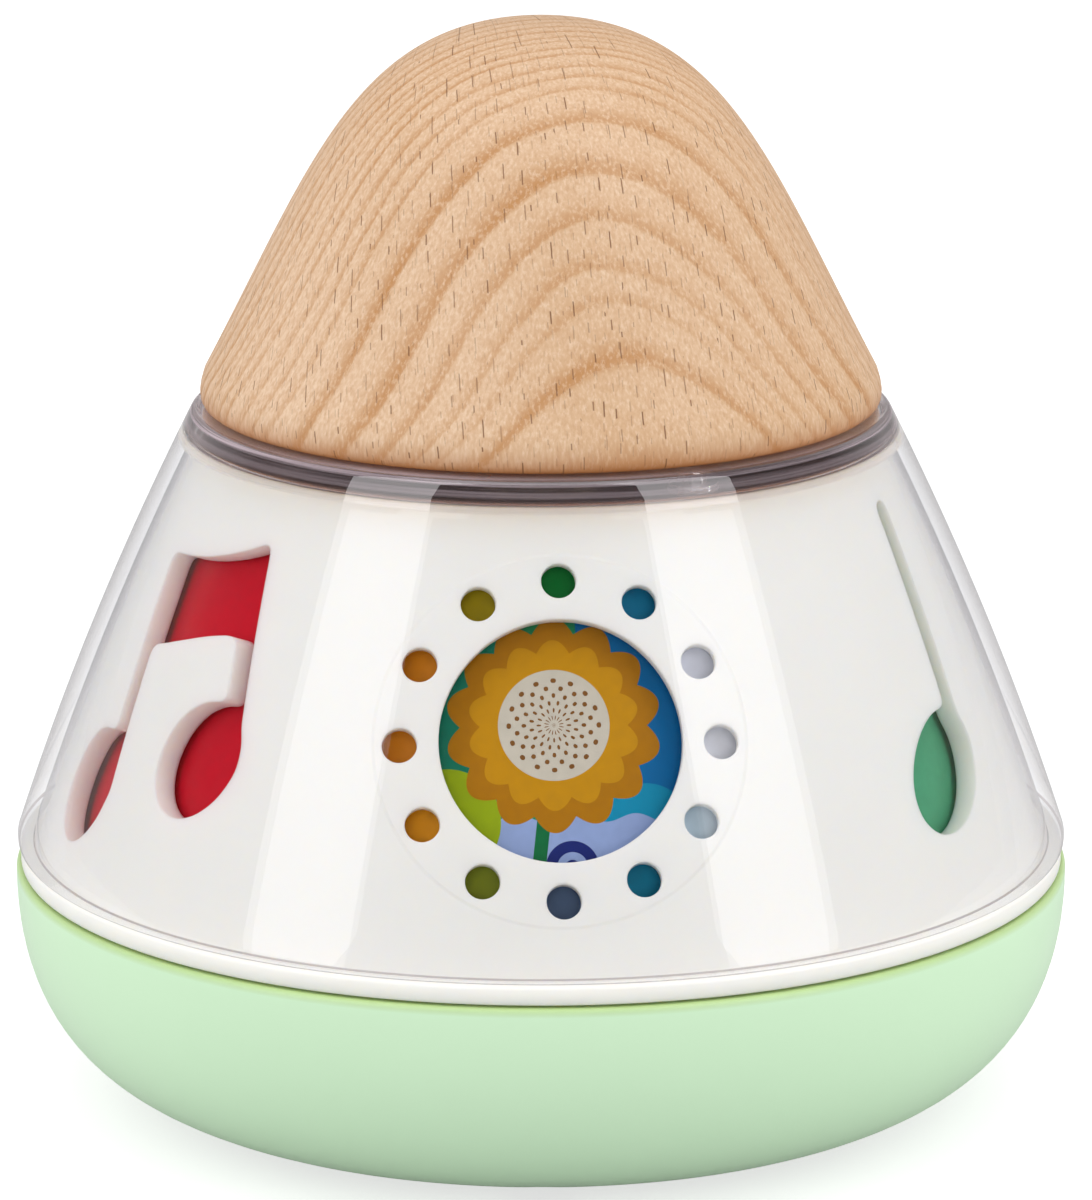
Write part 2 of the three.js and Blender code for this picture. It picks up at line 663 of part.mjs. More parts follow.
// Two heads whose stems lean to the ends of one beam, which they bound on both sides
function doubleNote(azimuth) {
  const frame = flankFrame(azimuth, flangeTop + NOTE_RISE);
  const half = BEAM_THICKNESS / 2;
  const ends = [-1, 1].map((side) => {
    const head = [(side * NOTE_SPREAD) / 2, (side * NOTE_HEAD_CLIMB) / 2];
    const foot = [head[0] + NOTE_STEM_REACH, head[1]];
    const top = [(side * BEAM_LENGTH) / 2 + BEAM_SHIFT, BEAM_HEIGHT + (side * BEAM_CLIMB) / 2];
    const lean = (top[0] - foot[0]) / (top[1] - foot[1]);
    const edge = top[0] + (side * NOTE_STEM_WIDTH) / 2;
    const low = [edge - half * lean, top[1] - half];
    const high = [edge + half * lean, top[1] + half];
    return { head, foot, top, low, high };
  });
  const [left, right] = ends;
  const third = BEAM_LENGTH / 3;
  const beam = new THREE.Shape();
  beam.moveTo(...left.low);
  beam.bezierCurveTo(left.low[0] + third, left.low[1], right.low[0] - third, right.low[1], ...right.low);
  beam.lineTo(...right.high);
  beam.bezierCurveTo(
    right.high[0] - third, right.high[1] - BEAM_DIP,
    left.high[0] + third, left.high[1],
    ...left.high,
  );
  beam.closePath();
  const heads = ends.map(({ head }) => flankCut(noteHead(head, DOUBLE_HEAD), frame, HEAD_STEPS));
  const stems = ends.map(({ foot, top }) => flankCut(stem(foot, top), frame));
  return [...heads, ...stems, flankCut(beam, frame, DOT_STEPS)];
}

// Window shell: cone wall, band and spigot, lugs over the deck and bosses under the roof
function windowShell() {
  const flangeRadius = BASE_RADIUS - FLANGE_SETBACK;
  const spigotRadius = BASE_RADIUS - BASE_WALL - SEAT_GAP;
  const innerInset = windowInset + WINDOW_WALL;
  const wall = turned([
    [spigotRadius - SPIGOT_WALL, spigotFloor],
    [spigotRadius, spigotFloor],
    [spigotRadius, flangeFloor],
    [flangeRadius, flangeFloor],
    ...corner(
      [flangeRadius, flangeTop - FLANGE_ROUND],
      [flangeRadius, flangeTop],
      [flangeRadius - FLANGE_ROUND, flangeTop],
    ),
    ...flank(flangeTop, windowTop, windowInset),
    [WINDOW_ROOF_BORE, windowTop],
    [WINDOW_ROOF_BORE, windowTop - WINDOW_ROOF],
    ...flank(windowTop - WINDOW_ROOF, flangeTop, innerInset),
  ], SHELL_SIDES);
  const lugs = lugPlaces.map((place) => rod(LUG_RADIUS, spigotFloor, flangeTop, place));
  const bossFloor = windowTop - ROOF_BOSS_DEPTH;
  const bosses = roofScrewPlaces.map((place) => rod(ROOF_BOSS_RADIUS, bossFloor, windowTop, place));
  const lugHoles = lugPlaces.map((place) => (
    rod(holeOf(SMALL_SHANK_RADIUS), spigotFloor - CUT_OVERRUN, flangeTop - CUT_OVERRUN, place)
  ));
  const bossHoles = roofScrewPlaces.map((place) => (
    rod(holeOf(SMALL_SHANK_RADIUS), bossFloor + SEAT_GAP, windowTop + CUT_OVERRUN, place)
  ));
  const windows = Array.from({ length: WINDOW_COUNT }, (_, i) => (
    roundWindow(WINDOW_AZIMUTH + (TAU * i) / WINDOW_COUNT)
  ));
  const notes = [...SINGLE_NOTE_AZIMUTHS.map(singleNote), doubleNote(DOUBLE_NOTE_AZIMUTH)];
  return cut(join(wall, ...lugs, ...bosses), ...lugHoles, ...bossHoles, ...windows.flat(), ...notes.flat());
}

// Clear cover: thick roof with a bore for the bush and countersunk places for its screws
const roofSeat = coverTop - SMALL_HEAD_HEIGHT - SEAT_GAP;
const bushRadius = SLEEVE_RADIUS + SEAT_GAP + BUSH_WALL;

function clearShell() {
  const wall = turned([
    ...corner(
      [flankFootRadius - COVER_EDGE, coverFloor],
      [flankFootRadius, coverFloor],
      [flankFootRadius, coverFloor + COVER_EDGE],
    ),
    ...flank(coverFloor + COVER_EDGE, coverTop - COVER_SHOULDER, 0).slice(1),
    ...corner(
      [flankRadius(coverTop - COVER_SHOULDER), coverTop - COVER_SHOULDER],
      [FLANK_TOP_RADIUS, coverTop],
      [FLANK_TOP_RADIUS - COVER_SHOULDER, coverTop],
    ).slice(1),
    [bushRadius + SEAT_GAP, coverTop],
    [bushRadius + SEAT_GAP, roofFloor],
    ...flank(roofFloor, coverFloor, COVER_WALL),
  ], SHELL_SIDES);
  const seats = roofScrewPlaces.map((place) => (
    rod(holeOf(SMALL_HEAD_RADIUS), roofSeat, coverTop + CUT_OVERRUN, place)
  ));
  const holes = roofScrewPlaces.map((place) => (
    rod(holeOf(SMALL_SHANK_RADIUS), roofFloor - CUT_OVERRUN, coverTop, place)
  ));
  return cut(wall, ...seats, ...holes);
}

function topBush() {
  const bore = SLEEVE_RADIUS + SEAT_GAP;
  return turned([
    [bore, bushFlangeFloor - BUSH_DEPTH],
    [bushRadius, bushFlangeFloor - BUSH_DEPTH],
    [bushRadius, bushFlangeFloor],
    [BUSH_FLANGE_RADIUS, bushFlangeFloor],
    [BUSH_FLANGE_RADIUS, bushFlangeFloor + BUSH_FLANGE_HEIGHT],
    [bore, bushFlangeFloor + BUSH_FLANGE_HEIGHT],
  ]);
}

// Winder
function woodenDome() {
  const [flankShare, riseShare] = DOME_FLANK_SHARES;
  const crown = new THREE.CubicBezierCurve(
    new THREE.Vector2(domeRadius, domeFloor + DOME_EDGE_ROUND),
    new THREE.Vector2(domeRadius * flankShare, domeFloor + DOME_HEIGHT * riseShare),
    new THREE.Vector2(domeRadius * DOME_CAP_SHARE, domeTop),
    new THREE.Vector2(0, domeTop),
  );
  const recessTop = domeFloor + DOME_RECESS_DEPTH;
  const body = turned([
    [0, boreTop],
    [DOME_BORE_RADIUS, boreTop],
    [DOME_BORE_RADIUS, recessTop],
    [DOME_RECESS_RADIUS, recessTop],
    [DOME_RECESS_RADIUS, domeFloor],
    ...corner(
      [domeRadius - DOME_EDGE_ROUND, domeFloor],
      [domeRadius, domeFloor],
      [domeRadius, domeFloor + DOME_EDGE_ROUND],
    ),
    ...crown.getPoints(CROWN_STEPS).slice(1).map((point) => [point.x, point.y]),
  ], SHELL_SIDES);
  const pilotTop = hubFloor - SEAT_GAP + DOME_SCREW_LENGTH + SEAT_GAP;
  const pilots = domeScrewPlaces.map((place) => (
    rod(holeOf(SMALL_SHANK_RADIUS), recessTop - CUT_OVERRUN, pilotTop, place)
  ));
  return cut(body, ...pilots);
}

function domeHub() {
  const body = turned([
    [shaftHole, sleeveFloor],
    [SLEEVE_RADIUS, sleeveFloor],
    [SLEEVE_RADIUS, hubBossFloor],
    [HUB_BOSS_RADIUS, hubBossFloor],
    [HUB_BOSS_RADIUS, hubFloor],
    [HUB_RADIUS, hubFloor],
    [HUB_RADIUS, hubTop],
    [shaftHole, hubTop],
  ]);
  const holes = domeScrewPlaces.map((place) => (
    rod(holeOf(SMALL_SHANK_RADIUS), hubFloor - CUT_OVERRUN, hubTop + CUT_OVERRUN, place)
  ));
  return cut(body, ...holes);
}

function shaftNut() {
  const top = nutFloor + NUT_HEIGHT;
  return cut(rod(NUT_RADIUS, nutFloor, top, [0, 0], SCREW_SIDES), shaftBore(nutFloor, top));
}

function windingShaft() {
  const foot = plateLevel - shaftDepth;
  const top = nutFloor + NUT_HEIGHT + SEAT_GAP;
  const neck = SHAFT_RADIUS - SHAFT_END_ROUND;
  return turned([
    [0, foot],
    [neck, foot],
    [SHAFT_RADIUS, foot + SHAFT_END_ROUND],
    [SHAFT_RADIUS, top - SHAFT_END_ROUND],
    [neck, top],
    [0, top],
  ]);
}

// Drum carrier: two spoked rings on a tube. The drum rests on the lower ring's shoulder.
function spokes(length, from, to) {
  const half = SPOKE_WIDTH / 2;
  const reach = CARRIER_TUBE_RADIUS - half;
  return Array.from({ length: SPOKE_COUNT }, (_, i) => (
    solid(block([reach, -half, from], [length, half, to]).rotateZ((TAU * i) / SPOKE_COUNT))
  ));
}

function drumCarrier() {
  const ringTop = carrierFloor + CARRIER_RING_HEIGHT;
  const shoulder = carrierFloor + CARRIER_SHOULDER;
  const lowInner = flankRadius(ringTop) - carrierInset - CARRIER_RING_WIDTH;
  const highInner = flankRadius(carrierTop) - carrierInset - CARRIER_RING_WIDTH;
  const low = turned([
    [lowInner, carrierFloor],
    [flankRadius(shoulder) - drumInset, carrierFloor],
    [flankRadius(shoulder) - drumInset, shoulder],
    ...flank(shoulder, ringTop, carrierInset, 1),
    [lowInner, ringTop],
  ], SHELL_SIDES);
  const high = turned([
    [highInner, carrierTop - CARRIER_TOP_RING],
    ...flank(carrierTop - CARRIER_TOP_RING, carrierTop, carrierInset, 1),
    [highInner, carrierTop],
  ], SHELL_SIDES);
  const middle = post(CARRIER_TUBE_RADIUS, carrierFloor, carrierTop);
  const overlap = CARRIER_RING_WIDTH / 2;
  const body = join(
    middle,
    low,
    high,
    ...spokes(lowInner + overlap, carrierFloor, carrierFloor + SPOKE_HEIGHT),
    ...spokes(highInner + overlap, carrierTop - CARRIER_TOP_RING, carrierTop),
  );
  return cut(body, shaftBore(carrierFloor, carrierTop));
}

function pictureDrum() {
  const lipFloor = drumTop - DRUM_WALL;
  const innerInset = drumInset + DRUM_WALL;
  return turned([
    ...flank(drumFloor, drumTop, drumInset),
    [flankRadius(drumTop) - innerInset - DRUM_LIP, drumTop],
    [flankRadius(drumTop) - innerInset - DRUM_LIP, lipFloor],
    ...flank(lipFloor, drumFloor, innerInset),
  ], SHELL_SIDES);
}

// Bedplate: cast plate with the comb's step and the post of the arbor's inner bearing
function movementPlate() {
  const plate = new THREE.Shape();
  plate.moveTo(plateLeft + PLATE_CORNER, plateFront);
  plate.lineTo(plateRight - PLATE_CORNER, plateFront);
  plate.quadraticCurveTo(plateRight, plateFront, plateRight, plateFront + PLATE_CORNER);
  plate.lineTo(plateRight, plateBack - PLATE_CORNER);
  plate.quadraticCurveTo(plateRight, plateBack, plateRight - PLATE_CORNER, plateBack);
  plate.lineTo(plateLeft + PLATE_CORNER, plateBack);
  plate.quadraticCurveTo(plateLeft, plateBack, plateLeft, plateBack - PLATE_CORNER);
  plate.lineTo(plateLeft, plateFront + PLATE_CORNER);
  plate.quadraticCurveTo(plateLeft, plateFront, plateLeft + PLATE_CORNER, plateFront);
  const step = box(
    [cylinderStart + CYLINDER_MARGIN, combRoot + TINE_SLOT, 0],
    [cylinderEnd - CYLINDER_MARGIN, combEnd, stepTop],
  );
  const bearing = new THREE.Shape();
  bearing.moveTo(-POST_HALF_WIDTH, 0);
  bearing.lineTo(POST_HALF_WIDTH, 0);
  bearing.lineTo(POST_HALF_WIDTH, ARBOR_HEIGHT);
  bearing.absarc(0, ARBOR_HEIGHT, POST_HALF_WIDTH, 0, Math.PI);
  const body = join(slab(plate, 0, PLATE_THICKNESS), step, slice(bearing, postStart, postEnd));
  const screwHoles = plateScrews.map((place) => (
    rod(holeOf(SMALL_SHANK_RADIUS), -CUT_OVERRUN, PLATE_THICKNESS + CUT_OVERRUN, place)
  ));
  const bracketHoles = bracketScrews.map((place) => (
    rod(holeOf(BRACKET_SHANK_RADIUS), -CUT_OVERRUN, PLATE_THICKNESS + CUT_OVERRUN, place)
  ));
  const combHoles = combScrewPlaces.map((place) => (
    rod(holeOf(SMALL_SHANK_RADIUS), stepTop - SMALL_SCREW_LENGTH, stepTop + CUT_OVERRUN, place)
  ));
  const slots = springTabs(SEAT_GAP, -CUT_OVERRUN, PLATE_THICKNESS + CUT_OVERRUN);
  return cut(
    body,
    shaftBore(0, PLATE_THICKNESS, RUNNING_GAP),
    axle(ARBOR_RADIUS + RUNNING_GAP, postStart - CUT_OVERRUN, postEnd + CUT_OVERRUN, [0, ARBOR_HEIGHT]),
    ...screwHoles,
    ...bracketHoles,
    ...combHoles,
    ...slots,
  );
}

// The spring case's tabs, which pass into slots of the plate
function springTabs(clearance, from, to) {
  const half = SPRING_TAB_WIDTH / 2 + clearance;
  const inner = SPRING_CASE_RADIUS - SPRING_CASE_WALL - clearance;
  const outer = SPRING_CASE_RADIUS + clearance;
  return Array.from({ length: SPRING_TAB_COUNT }, (_, i) => (
    solid(block([inner, -half, from], [outer, half, to]).rotateZ((TAU * (i + 0.5)) / SPRING_TAB_COUNT))
  ));
}

function springCase() {
  const top = bracketFloor + SPRING_CASE_HEIGHT;
  const inner = SPRING_CASE_RADIUS - SPRING_CASE_WALL;
  const cup = turned([
    [inner, bracketFloor],
    [SPRING_CASE_RADIUS, bracketFloor],
    [SPRING_CASE_RADIUS, top - SPRING_CASE_WALL],
    [SPRING_CASE_RADIUS - SPRING_CASE_WALL, top],
    [SPRING_CASE_BORE, top],
    [SPRING_CASE_BORE, top - SPRING_CASE_WALL],
    [inner, top - SPRING_CASE_WALL],
  ]);
  const shell = post(SPRING_CASE_RADIUS, 0, top);
  const tabs = springTabs(0, PLATE_THICKNESS - SPRING_TAB_DEPTH, bracketFloor + SPRING_CASE_WALL);
  return join(cup, ...tabs.map((tab) => tab.intersect(shell)));
}

// Mainspring: one ribbon wound in a spiral
function mainspring() {
  const outerRadius = SPRING_CASE_RADIUS - SPRING_CASE_WALL - SPRING_RIBBON - SEAT_GAP;
  const steps = SPRING_TURNS * WORM_STEPS;
  const edge = (offset) => Array.from({ length: steps + 1 }, (_, i) => {
    const radius = THREE.MathUtils.lerp(SPRING_INNER_RADIUS, outerRadius, i / steps) + offset;
    const angle = (TAU * SPRING_TURNS * i) / steps;
    return [radius * Math.cos(angle), radius * Math.sin(angle)];
  });
  const ribbon = outline([...edge(SPRING_RIBBON), ...edge(0).reverse()]);
  const top = bracketFloor + SPRING_CASE_HEIGHT - SPRING_CASE_WALL - SEAT_GAP;
  return slab(ribbon, PLATE_THICKNESS + SEAT_GAP, top);
}

// Gears with straight-sided teeth. Tooth 0 points along the outline's own X axis.
function gearOutline(teeth, module, turn = 0) {
  const pitchRadius = (teeth * module) / 2;
  const root = pitchRadius - DEDENDUM_SHARE * module;
  const tip = pitchRadius + ADDENDUM_SHARE * module;
  const tooth = [
    [root, -TOOTH_ROOT_SHARE],
    [tip, -TOOTH_TIP_SHARE],
    [tip, TOOTH_TIP_SHARE],
    [root, TOOTH_ROOT_SHARE],
  ];
  const points = Array.from({ length: teeth }, (_, i) => tooth.map(([radius, offset]) => {
    const angle = turn + (TAU * (i + offset)) / teeth;
    return [radius * Math.cos(angle), radius * Math.sin(angle)];
  }));
  return outline(points.flat());
}

function greatWheel() {
  const inner = crownRadius - CROWN_FACE / 2;
  const outer = crownRadius + CROWN_FACE / 2;
  const pitch = Math.PI * CROWN_MODULE;
  const middle = greatWheelFloor + CROWN_DISC / 2;
  const tooth = outline([
    [-TOOTH_ROOT_SHARE * pitch, middle],
    [TOOTH_ROOT_SHARE * pitch, middle],
    [TOOTH_ROOT_SHARE * pitch, crownRoot],
    [TOOTH_TIP_SHARE * pitch, crownTip],
    [-TOOTH_TIP_SHARE * pitch, crownTip],
    [-TOOTH_ROOT_SHARE * pitch, crownRoot],
  ]);
  const teeth = Array.from({ length: GREAT_WHEEL_TEETH }, (_, i) => (
    solid(bar(tooth, inner, outer).rotateZ((TAU * i) / GREAT_WHEEL_TEETH))
  ));
  const disc = post(outer + SEAT_GAP, greatWheelFloor, crownRoot);
  const hub = post(GREAT_HUB_RADIUS, greatWheelFloor, greatHubTop);
  return cut(join(disc, hub, ...teeth), shaftBore(greatWheelFloor, greatHubTop));
}

const pinionStart = crownRadius - CROWN_FACE / 2;
const arborStart = pinionStart - ARBOR_OVERHANG;
const arborAxis = [0, ARBOR_HEIGHT];

function arborBore(from, to) {
  return axle(ARBOR_RADIUS + SEAT_GAP, from - CUT_OVERRUN, to + CUT_OVERRUN, arborAxis);
}

function cylinderArbor() {
  return axle(ARBOR_RADIUS, arborStart, cheekEnd - SEAT_GAP, arborAxis);
}

function cylinderPinion() {
  const end = pinionStart + CROWN_FACE;
  const shape = gearOutline(PINION_TEETH, CROWN_MODULE, QUARTER + Math.PI / PINION_TEETH);
  const body = slice(shape, pinionStart, end, arborAxis);
  return cut(body, arborBore(pinionStart, end));
}

function cylinderWheel() {
  const end = cylinderWheelStart + CYLINDER_WHEEL_WIDTH;
  const shape = gearOutline(CYLINDER_WHEEL_TEETH, TRAIN_MODULE, Math.PI + IDLER_DIP);
  return cut(slice(shape, cylinderWheelStart, end, arborAxis), arborBore(cylinderWheelStart, end));
}

// The pins stand where the tines pass, spread round the cylinder as a running scale
const tineX = (i) => cylinderStart + CYLINDER_MARGIN + (i + 0.5) * TINE_PITCH;

function pinnedCylinder() {
  const barrel = axle(CYLINDER_RADIUS, cylinderStart, cylinderEnd, arborAxis, TURNED_SIDES);
  const pins = Array.from({ length: PIN_COUNT }, (_, i) => {
    const pin = new THREE.CylinderGeometry(PIN_RADIUS, PIN_RADIUS, 2 * PIN_HEIGHT, PIN_SIDES);
    const turn = (TAU * i) / PIN_COUNT;
    const x = tineX((i * PIN_STEP) % TINE_COUNT);
    return solid(pin.translate(0, CYLINDER_RADIUS, 0).rotateX(turn).translate(x, 0, ARBOR_HEIGHT));
  });
  return cut(join(barrel, ...pins), arborBore(cylinderStart, cylinderEnd));
}

// Comb: its tines grow shorter from the low note to the high one
const combScrewPlaces = [-0.5, 0.5].map((share) => [combMiddle + share * COMB_SCREW_SPACING, combScrewY]);

function toneComb() {
  const half = (TINE_PITCH - TINE_SLOT) / 2;
  const tines = Array.from({ length: TINE_COUNT }, (_, i) => {
    const root = combTip + THREE.MathUtils.lerp(TINE_LONGEST, TINE_SHORTEST, i / (TINE_COUNT - 1));
    const x = tineX(i);
    return [[x - half, root], [x - half, combTip], [x + half, combTip], [x + half, root]];
  });
  const left = tineX(0) - half;
  const right = tineX(TINE_COUNT - 1) + half;
  const shape = outline([[left, combEnd], ...tines.flat(), [right, combEnd]]);
  const holes = combScrewPlaces.map((place) => (
    rod(holeOf(SMALL_SHANK_RADIUS), combFloor - CUT_OVERRUN, combFloor + COMB_THICKNESS + CUT_OVERRUN, place)
  ));
  return cut(slab(shape, combFloor, combFloor + COMB_THICKNESS), ...holes);
}

// Governor bracket: a folded frame whose cheeks, foot and arm hold the last three bearings
function governorBracket() {
  const low = idlerY - CHEEK_MARGIN;
  const short = outline([
    [low, bracketFloor],
    [idlerY + CHEEK_MARGIN, bracketFloor],
    [idlerY + CHEEK_MARGIN, idlerZ + CHEEK_MARGIN],
    [low, idlerZ + CHEEK_MARGIN],
  ]);
  const tall = new THREE.Shape();
  tall.moveTo(low, bracketFloor);
  tall.lineTo(POST_HALF_WIDTH, bracketFloor);
  tall.lineTo(POST_HALF_WIDTH, ARBOR_HEIGHT);
  tall.absarc(0, ARBOR_HEIGHT, POST_HALF_WIDTH, 0, Math.PI);
  tall.lineTo(-POST_HALF_WIDTH, ARBOR_HEIGHT);
  tall.lineTo(low, idlerZ + CHEEK_MARGIN);
  tall.closePath();
  const armFrom = governorX - ARM_WIDTH / 2;
  const armTo = governorX + ARM_WIDTH / 2;
  const governorAxis = [governorX, governorY];
  const pivotHole = PIVOT_RADIUS + RUNNING_GAP;
  const body = join(
    box([leftCheek, bracketBack, bracketFloor], [cheekEnd, POST_HALF_WIDTH, bracketFoot]),
    slice(short, leftCheek, leftCheek + CHEEK_THICKNESS),
    slice(tall, rightCheek, cheekEnd),
    box([armFrom, bracketBack, bracketFloor], [armTo, bracketBack + CHEEK_THICKNESS, armTop]),
    box([armFrom, bracketBack, armFloor], [armTo, governorY + CHEEK_MARGIN, armTop]),
  );
  const from = leftCheek - CUT_OVERRUN;
  const to = cheekEnd + CUT_OVERRUN;
  return cut(
    body,
    axle(IDLER_ARBOR_RADIUS + RUNNING_GAP, from, to, [idlerY, idlerZ]),
    axle(ARBOR_RADIUS + RUNNING_GAP, from, to, arborAxis),
    rod(pivotHole, bracketFloor - CUT_OVERRUN, bracketFoot + CUT_OVERRUN, governorAxis),
    rod(pivotHole, armFloor - CUT_OVERRUN, armTop + CUT_OVERRUN, governorAxis),
    ...bracketScrews.map((place) => (
      rod(holeOf(BRACKET_SHANK_RADIUS), bracketFloor - CUT_OVERRUN, bracketFoot + CUT_OVERRUN, place)
    )),
  );
}

// Idler: its arbor, pinion and worm wheel are one moulding
function idlerWheel() {
  const axis = [idlerY, idlerZ];
  const pinion = gearOutline(IDLER_PINION_TEETH, TRAIN_MODULE, IDLER_DIP + Math.PI / IDLER_PINION_TEETH);
  const wheel = gearOutline(IDLER_WHEEL_TEETH, TRAIN_MODULE);
  const pinionFrom = cylinderWheelMiddle - IDLER_PINION_WIDTH / 2;
  return join(
    axle(IDLER_ARBOR_RADIUS, leftCheek + SEAT_GAP, cheekEnd - SEAT_GAP, axis),
    slice(pinion, pinionFrom, pinionFrom + IDLER_PINION_WIDTH, axis),
    slice(wheel, idlerWheelStart, idlerWheelStart + IDLER_WHEEL_WIDTH, axis),
  );
}

// The worm's thread: a helix whose gap faces the idler's tooth at rest
class Thread extends THREE.Curve {
  constructor(radius, lead, turns, start) {
    super();
    Object.assign(this, { radius, lead, turns, start });
  }

  getPoint(share, target = new THREE.Vector3()) {
    const angle = this.start + TAU * this.turns * share;
    const climb = this.lead * this.turns * (share - 0.5);
    return target.set(this.radius * Math.cos(angle), this.radius * Math.sin(angle), climb);
  }
}

function governorWorm() {
  const turns = Math.round(WORM_LENGTH / wormLead) - 1;
  const start = QUARTER + Math.PI * (turns + 1);
  const path = new Thread(WORM_THREAD_CIRCLE, wormLead, turns, start);
  const section = new THREE.Shape().absarc(0, 0, WORM_THREAD_RADIUS, 0, TAU);
  const thread = solid(new THREE.ExtrudeGeometry(section, {
    steps: WORM_STEPS * turns,
    curveSegments: THREAD_STEPS,
    extrudePath: path,
  }));
  const half = WORM_LENGTH / 2;
  const shaft = turned([
    [0, bracketFloor - idlerZ + SEAT_GAP],
    [PIVOT_RADIUS, bracketFloor - idlerZ + SEAT_GAP],
    [PIVOT_RADIUS, bracketFoot - idlerZ + SEAT_GAP],
    [WORM_CORE_RADIUS / 2 + PIVOT_RADIUS / 2, -half],
    [WORM_CORE_RADIUS, -half],
    [WORM_CORE_RADIUS, half],
    [PIVOT_RADIUS, half],
    [PIVOT_RADIUS, armTop - idlerZ - SEAT_GAP],
    [0, armTop - idlerZ - SEAT_GAP],
  ], ROD_SIDES);
  return join(shaft, thread);
}

function governorFan() {
  const hub = rod(FAN_HUB_RADIUS, 0, FAN_HEIGHT);
  const blades = box(
    [-FAN_RADIUS, -FAN_THICKNESS / 2, 0],
    [FAN_RADIUS, FAN_THICKNESS / 2, FAN_HEIGHT],
  );
  return cut(join(hub, blades), rod(PIVOT_RADIUS + SEAT_GAP, -CUT_OVERRUN, FAN_HEIGHT + CUT_OVERRUN));
}

// The scene: the housing and the winder share the toy's frame, the movement hangs in its own
const toy = new THREE.Group();
toy.name = 'musical_top';

const smallHeadSeat = SMALL_HEAD_HEIGHT + SEAT_GAP;
piece(toy, 'base_bowl', baseBowl(), MINT);
piece(toy, 'base_deck', baseDeck(), GREY_PLASTIC);
piece(toy, 'window_shell', windowShell(), WARM_WHITE);
piece(toy, 'clear_shell', clearShell(), CLEAR);
piece(toy, 'top_bush', topBush(), ACETAL);
const baseScrew = screw(BASE_HEAD_RADIUS, BASE_HEAD_HEIGHT, BASE_SHANK_RADIUS, BASE_SCREW_LENGTH);
screws(toy, 'base_screw', wellPlaces, wellTop - WELL_SEAT - SEAT_GAP, baseScrew);
screws(toy, 'deck_screw', lugPlaces, deckFloor - SEAT_GAP, smallScrew(DECK_SCREW_LENGTH));
screws(toy, 'roof_screw', roofScrewPlaces, roofSeat + SEAT_GAP, smallScrew(), true);

const winder = new THREE.Group();
toy.add(winder);
piece(winder, 'wooden_dome', woodenDome(), BEECH);
piece(winder, 'dome_hub', domeHub(), ACETAL);
piece(winder, 'shaft_nut', shaftNut(), STEEL);
piece(winder, 'winding_shaft', windingShaft(), STEEL);
piece(winder, 'drum_carrier', drumCarrier(), GREY_PLASTIC);
piece(winder, 'picture_drum', pictureDrum(), PRINT);
screws(winder, 'dome_screw', domeScrewPlaces, hubFloor - SEAT_GAP, smallScrew(DOME_SCREW_LENGTH));

const movement = new THREE.Group();
movement.position.z = plateLevel;
movement.rotation.z = MOVEMENT_TURN;
toy.add(movement);
const hanging = new THREE.Group();
hanging.rotation.x = Math.PI;
movement.add(hanging);
piece(hanging, 'movement_plate', movementPlate(), ZINC);
piece(hanging, 'spring_case', springCase(), BRASS);
piece(hanging, 'mainspring', mainspring(), STEEL);
piece(hanging, 'tone_comb', toneComb(), STEEL);
piece(hanging, 'governor_bracket', governorBracket(), BRASS);
screws(hanging, 'movement_screw', plateScrews, -DECK_THICKNESS - 2 * SEAT_GAP, smallScrew());
const combScrewLevel = combFloor + COMB_THICKNESS + SEAT_GAP;
screws(hanging, 'comb_screw', combScrewPlaces, combScrewLevel, smallScrew(), true);
const bracketScrew = screw(
  BRACKET_HEAD_RADIUS,
  BRACKET_HEAD_HEIGHT,
  BRACKET_SHANK_RADIUS,
  BRACKET_SCREW_LENGTH,
);
screws(hanging, 'bracket_screw', bracketScrews, bracketFoot + SEAT_GAP, bracketScrew, true);

piece(hanging, 'great_wheel', greatWheel(), BRASS);
piece(hanging, 'shaft_clip', tube(CLIP_RADIUS, shaftHole, clipFloor, clipFloor + CLIP_THICKNESS), STEEL);
piece(hanging, 'cylinder_arbor', cylinderArbor(), STEEL);
piece(hanging, 'cylinder_pinion', cylinderPinion(), BRASS);
piece(hanging, 'cylinder_wheel', cylinderWheel(), BRASS);
piece(hanging, 'pinned_cylinder', pinnedCylinder(), BRASS);
piece(hanging, 'idler_wheel', idlerWheel(), ACETAL);
piece(hanging, 'governor_worm', governorWorm(), STEEL, [governorX, governorY, idlerZ]);
piece(hanging, 'governor_fan', governorFan(), ACETAL, [governorX, governorY, fanFloor]);

export default toy;
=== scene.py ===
"""Looks of the musical top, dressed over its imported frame.

Metres, +Z up, the front window towards -Y. Shells that show are smooth pieces that replace their
faceted CAD nodes. The music movement keeps its CAD nodes and gets finishes.
"""

import json
import math

import bmesh
import bpy
import numpy as np
from mathutils import Matrix, Vector


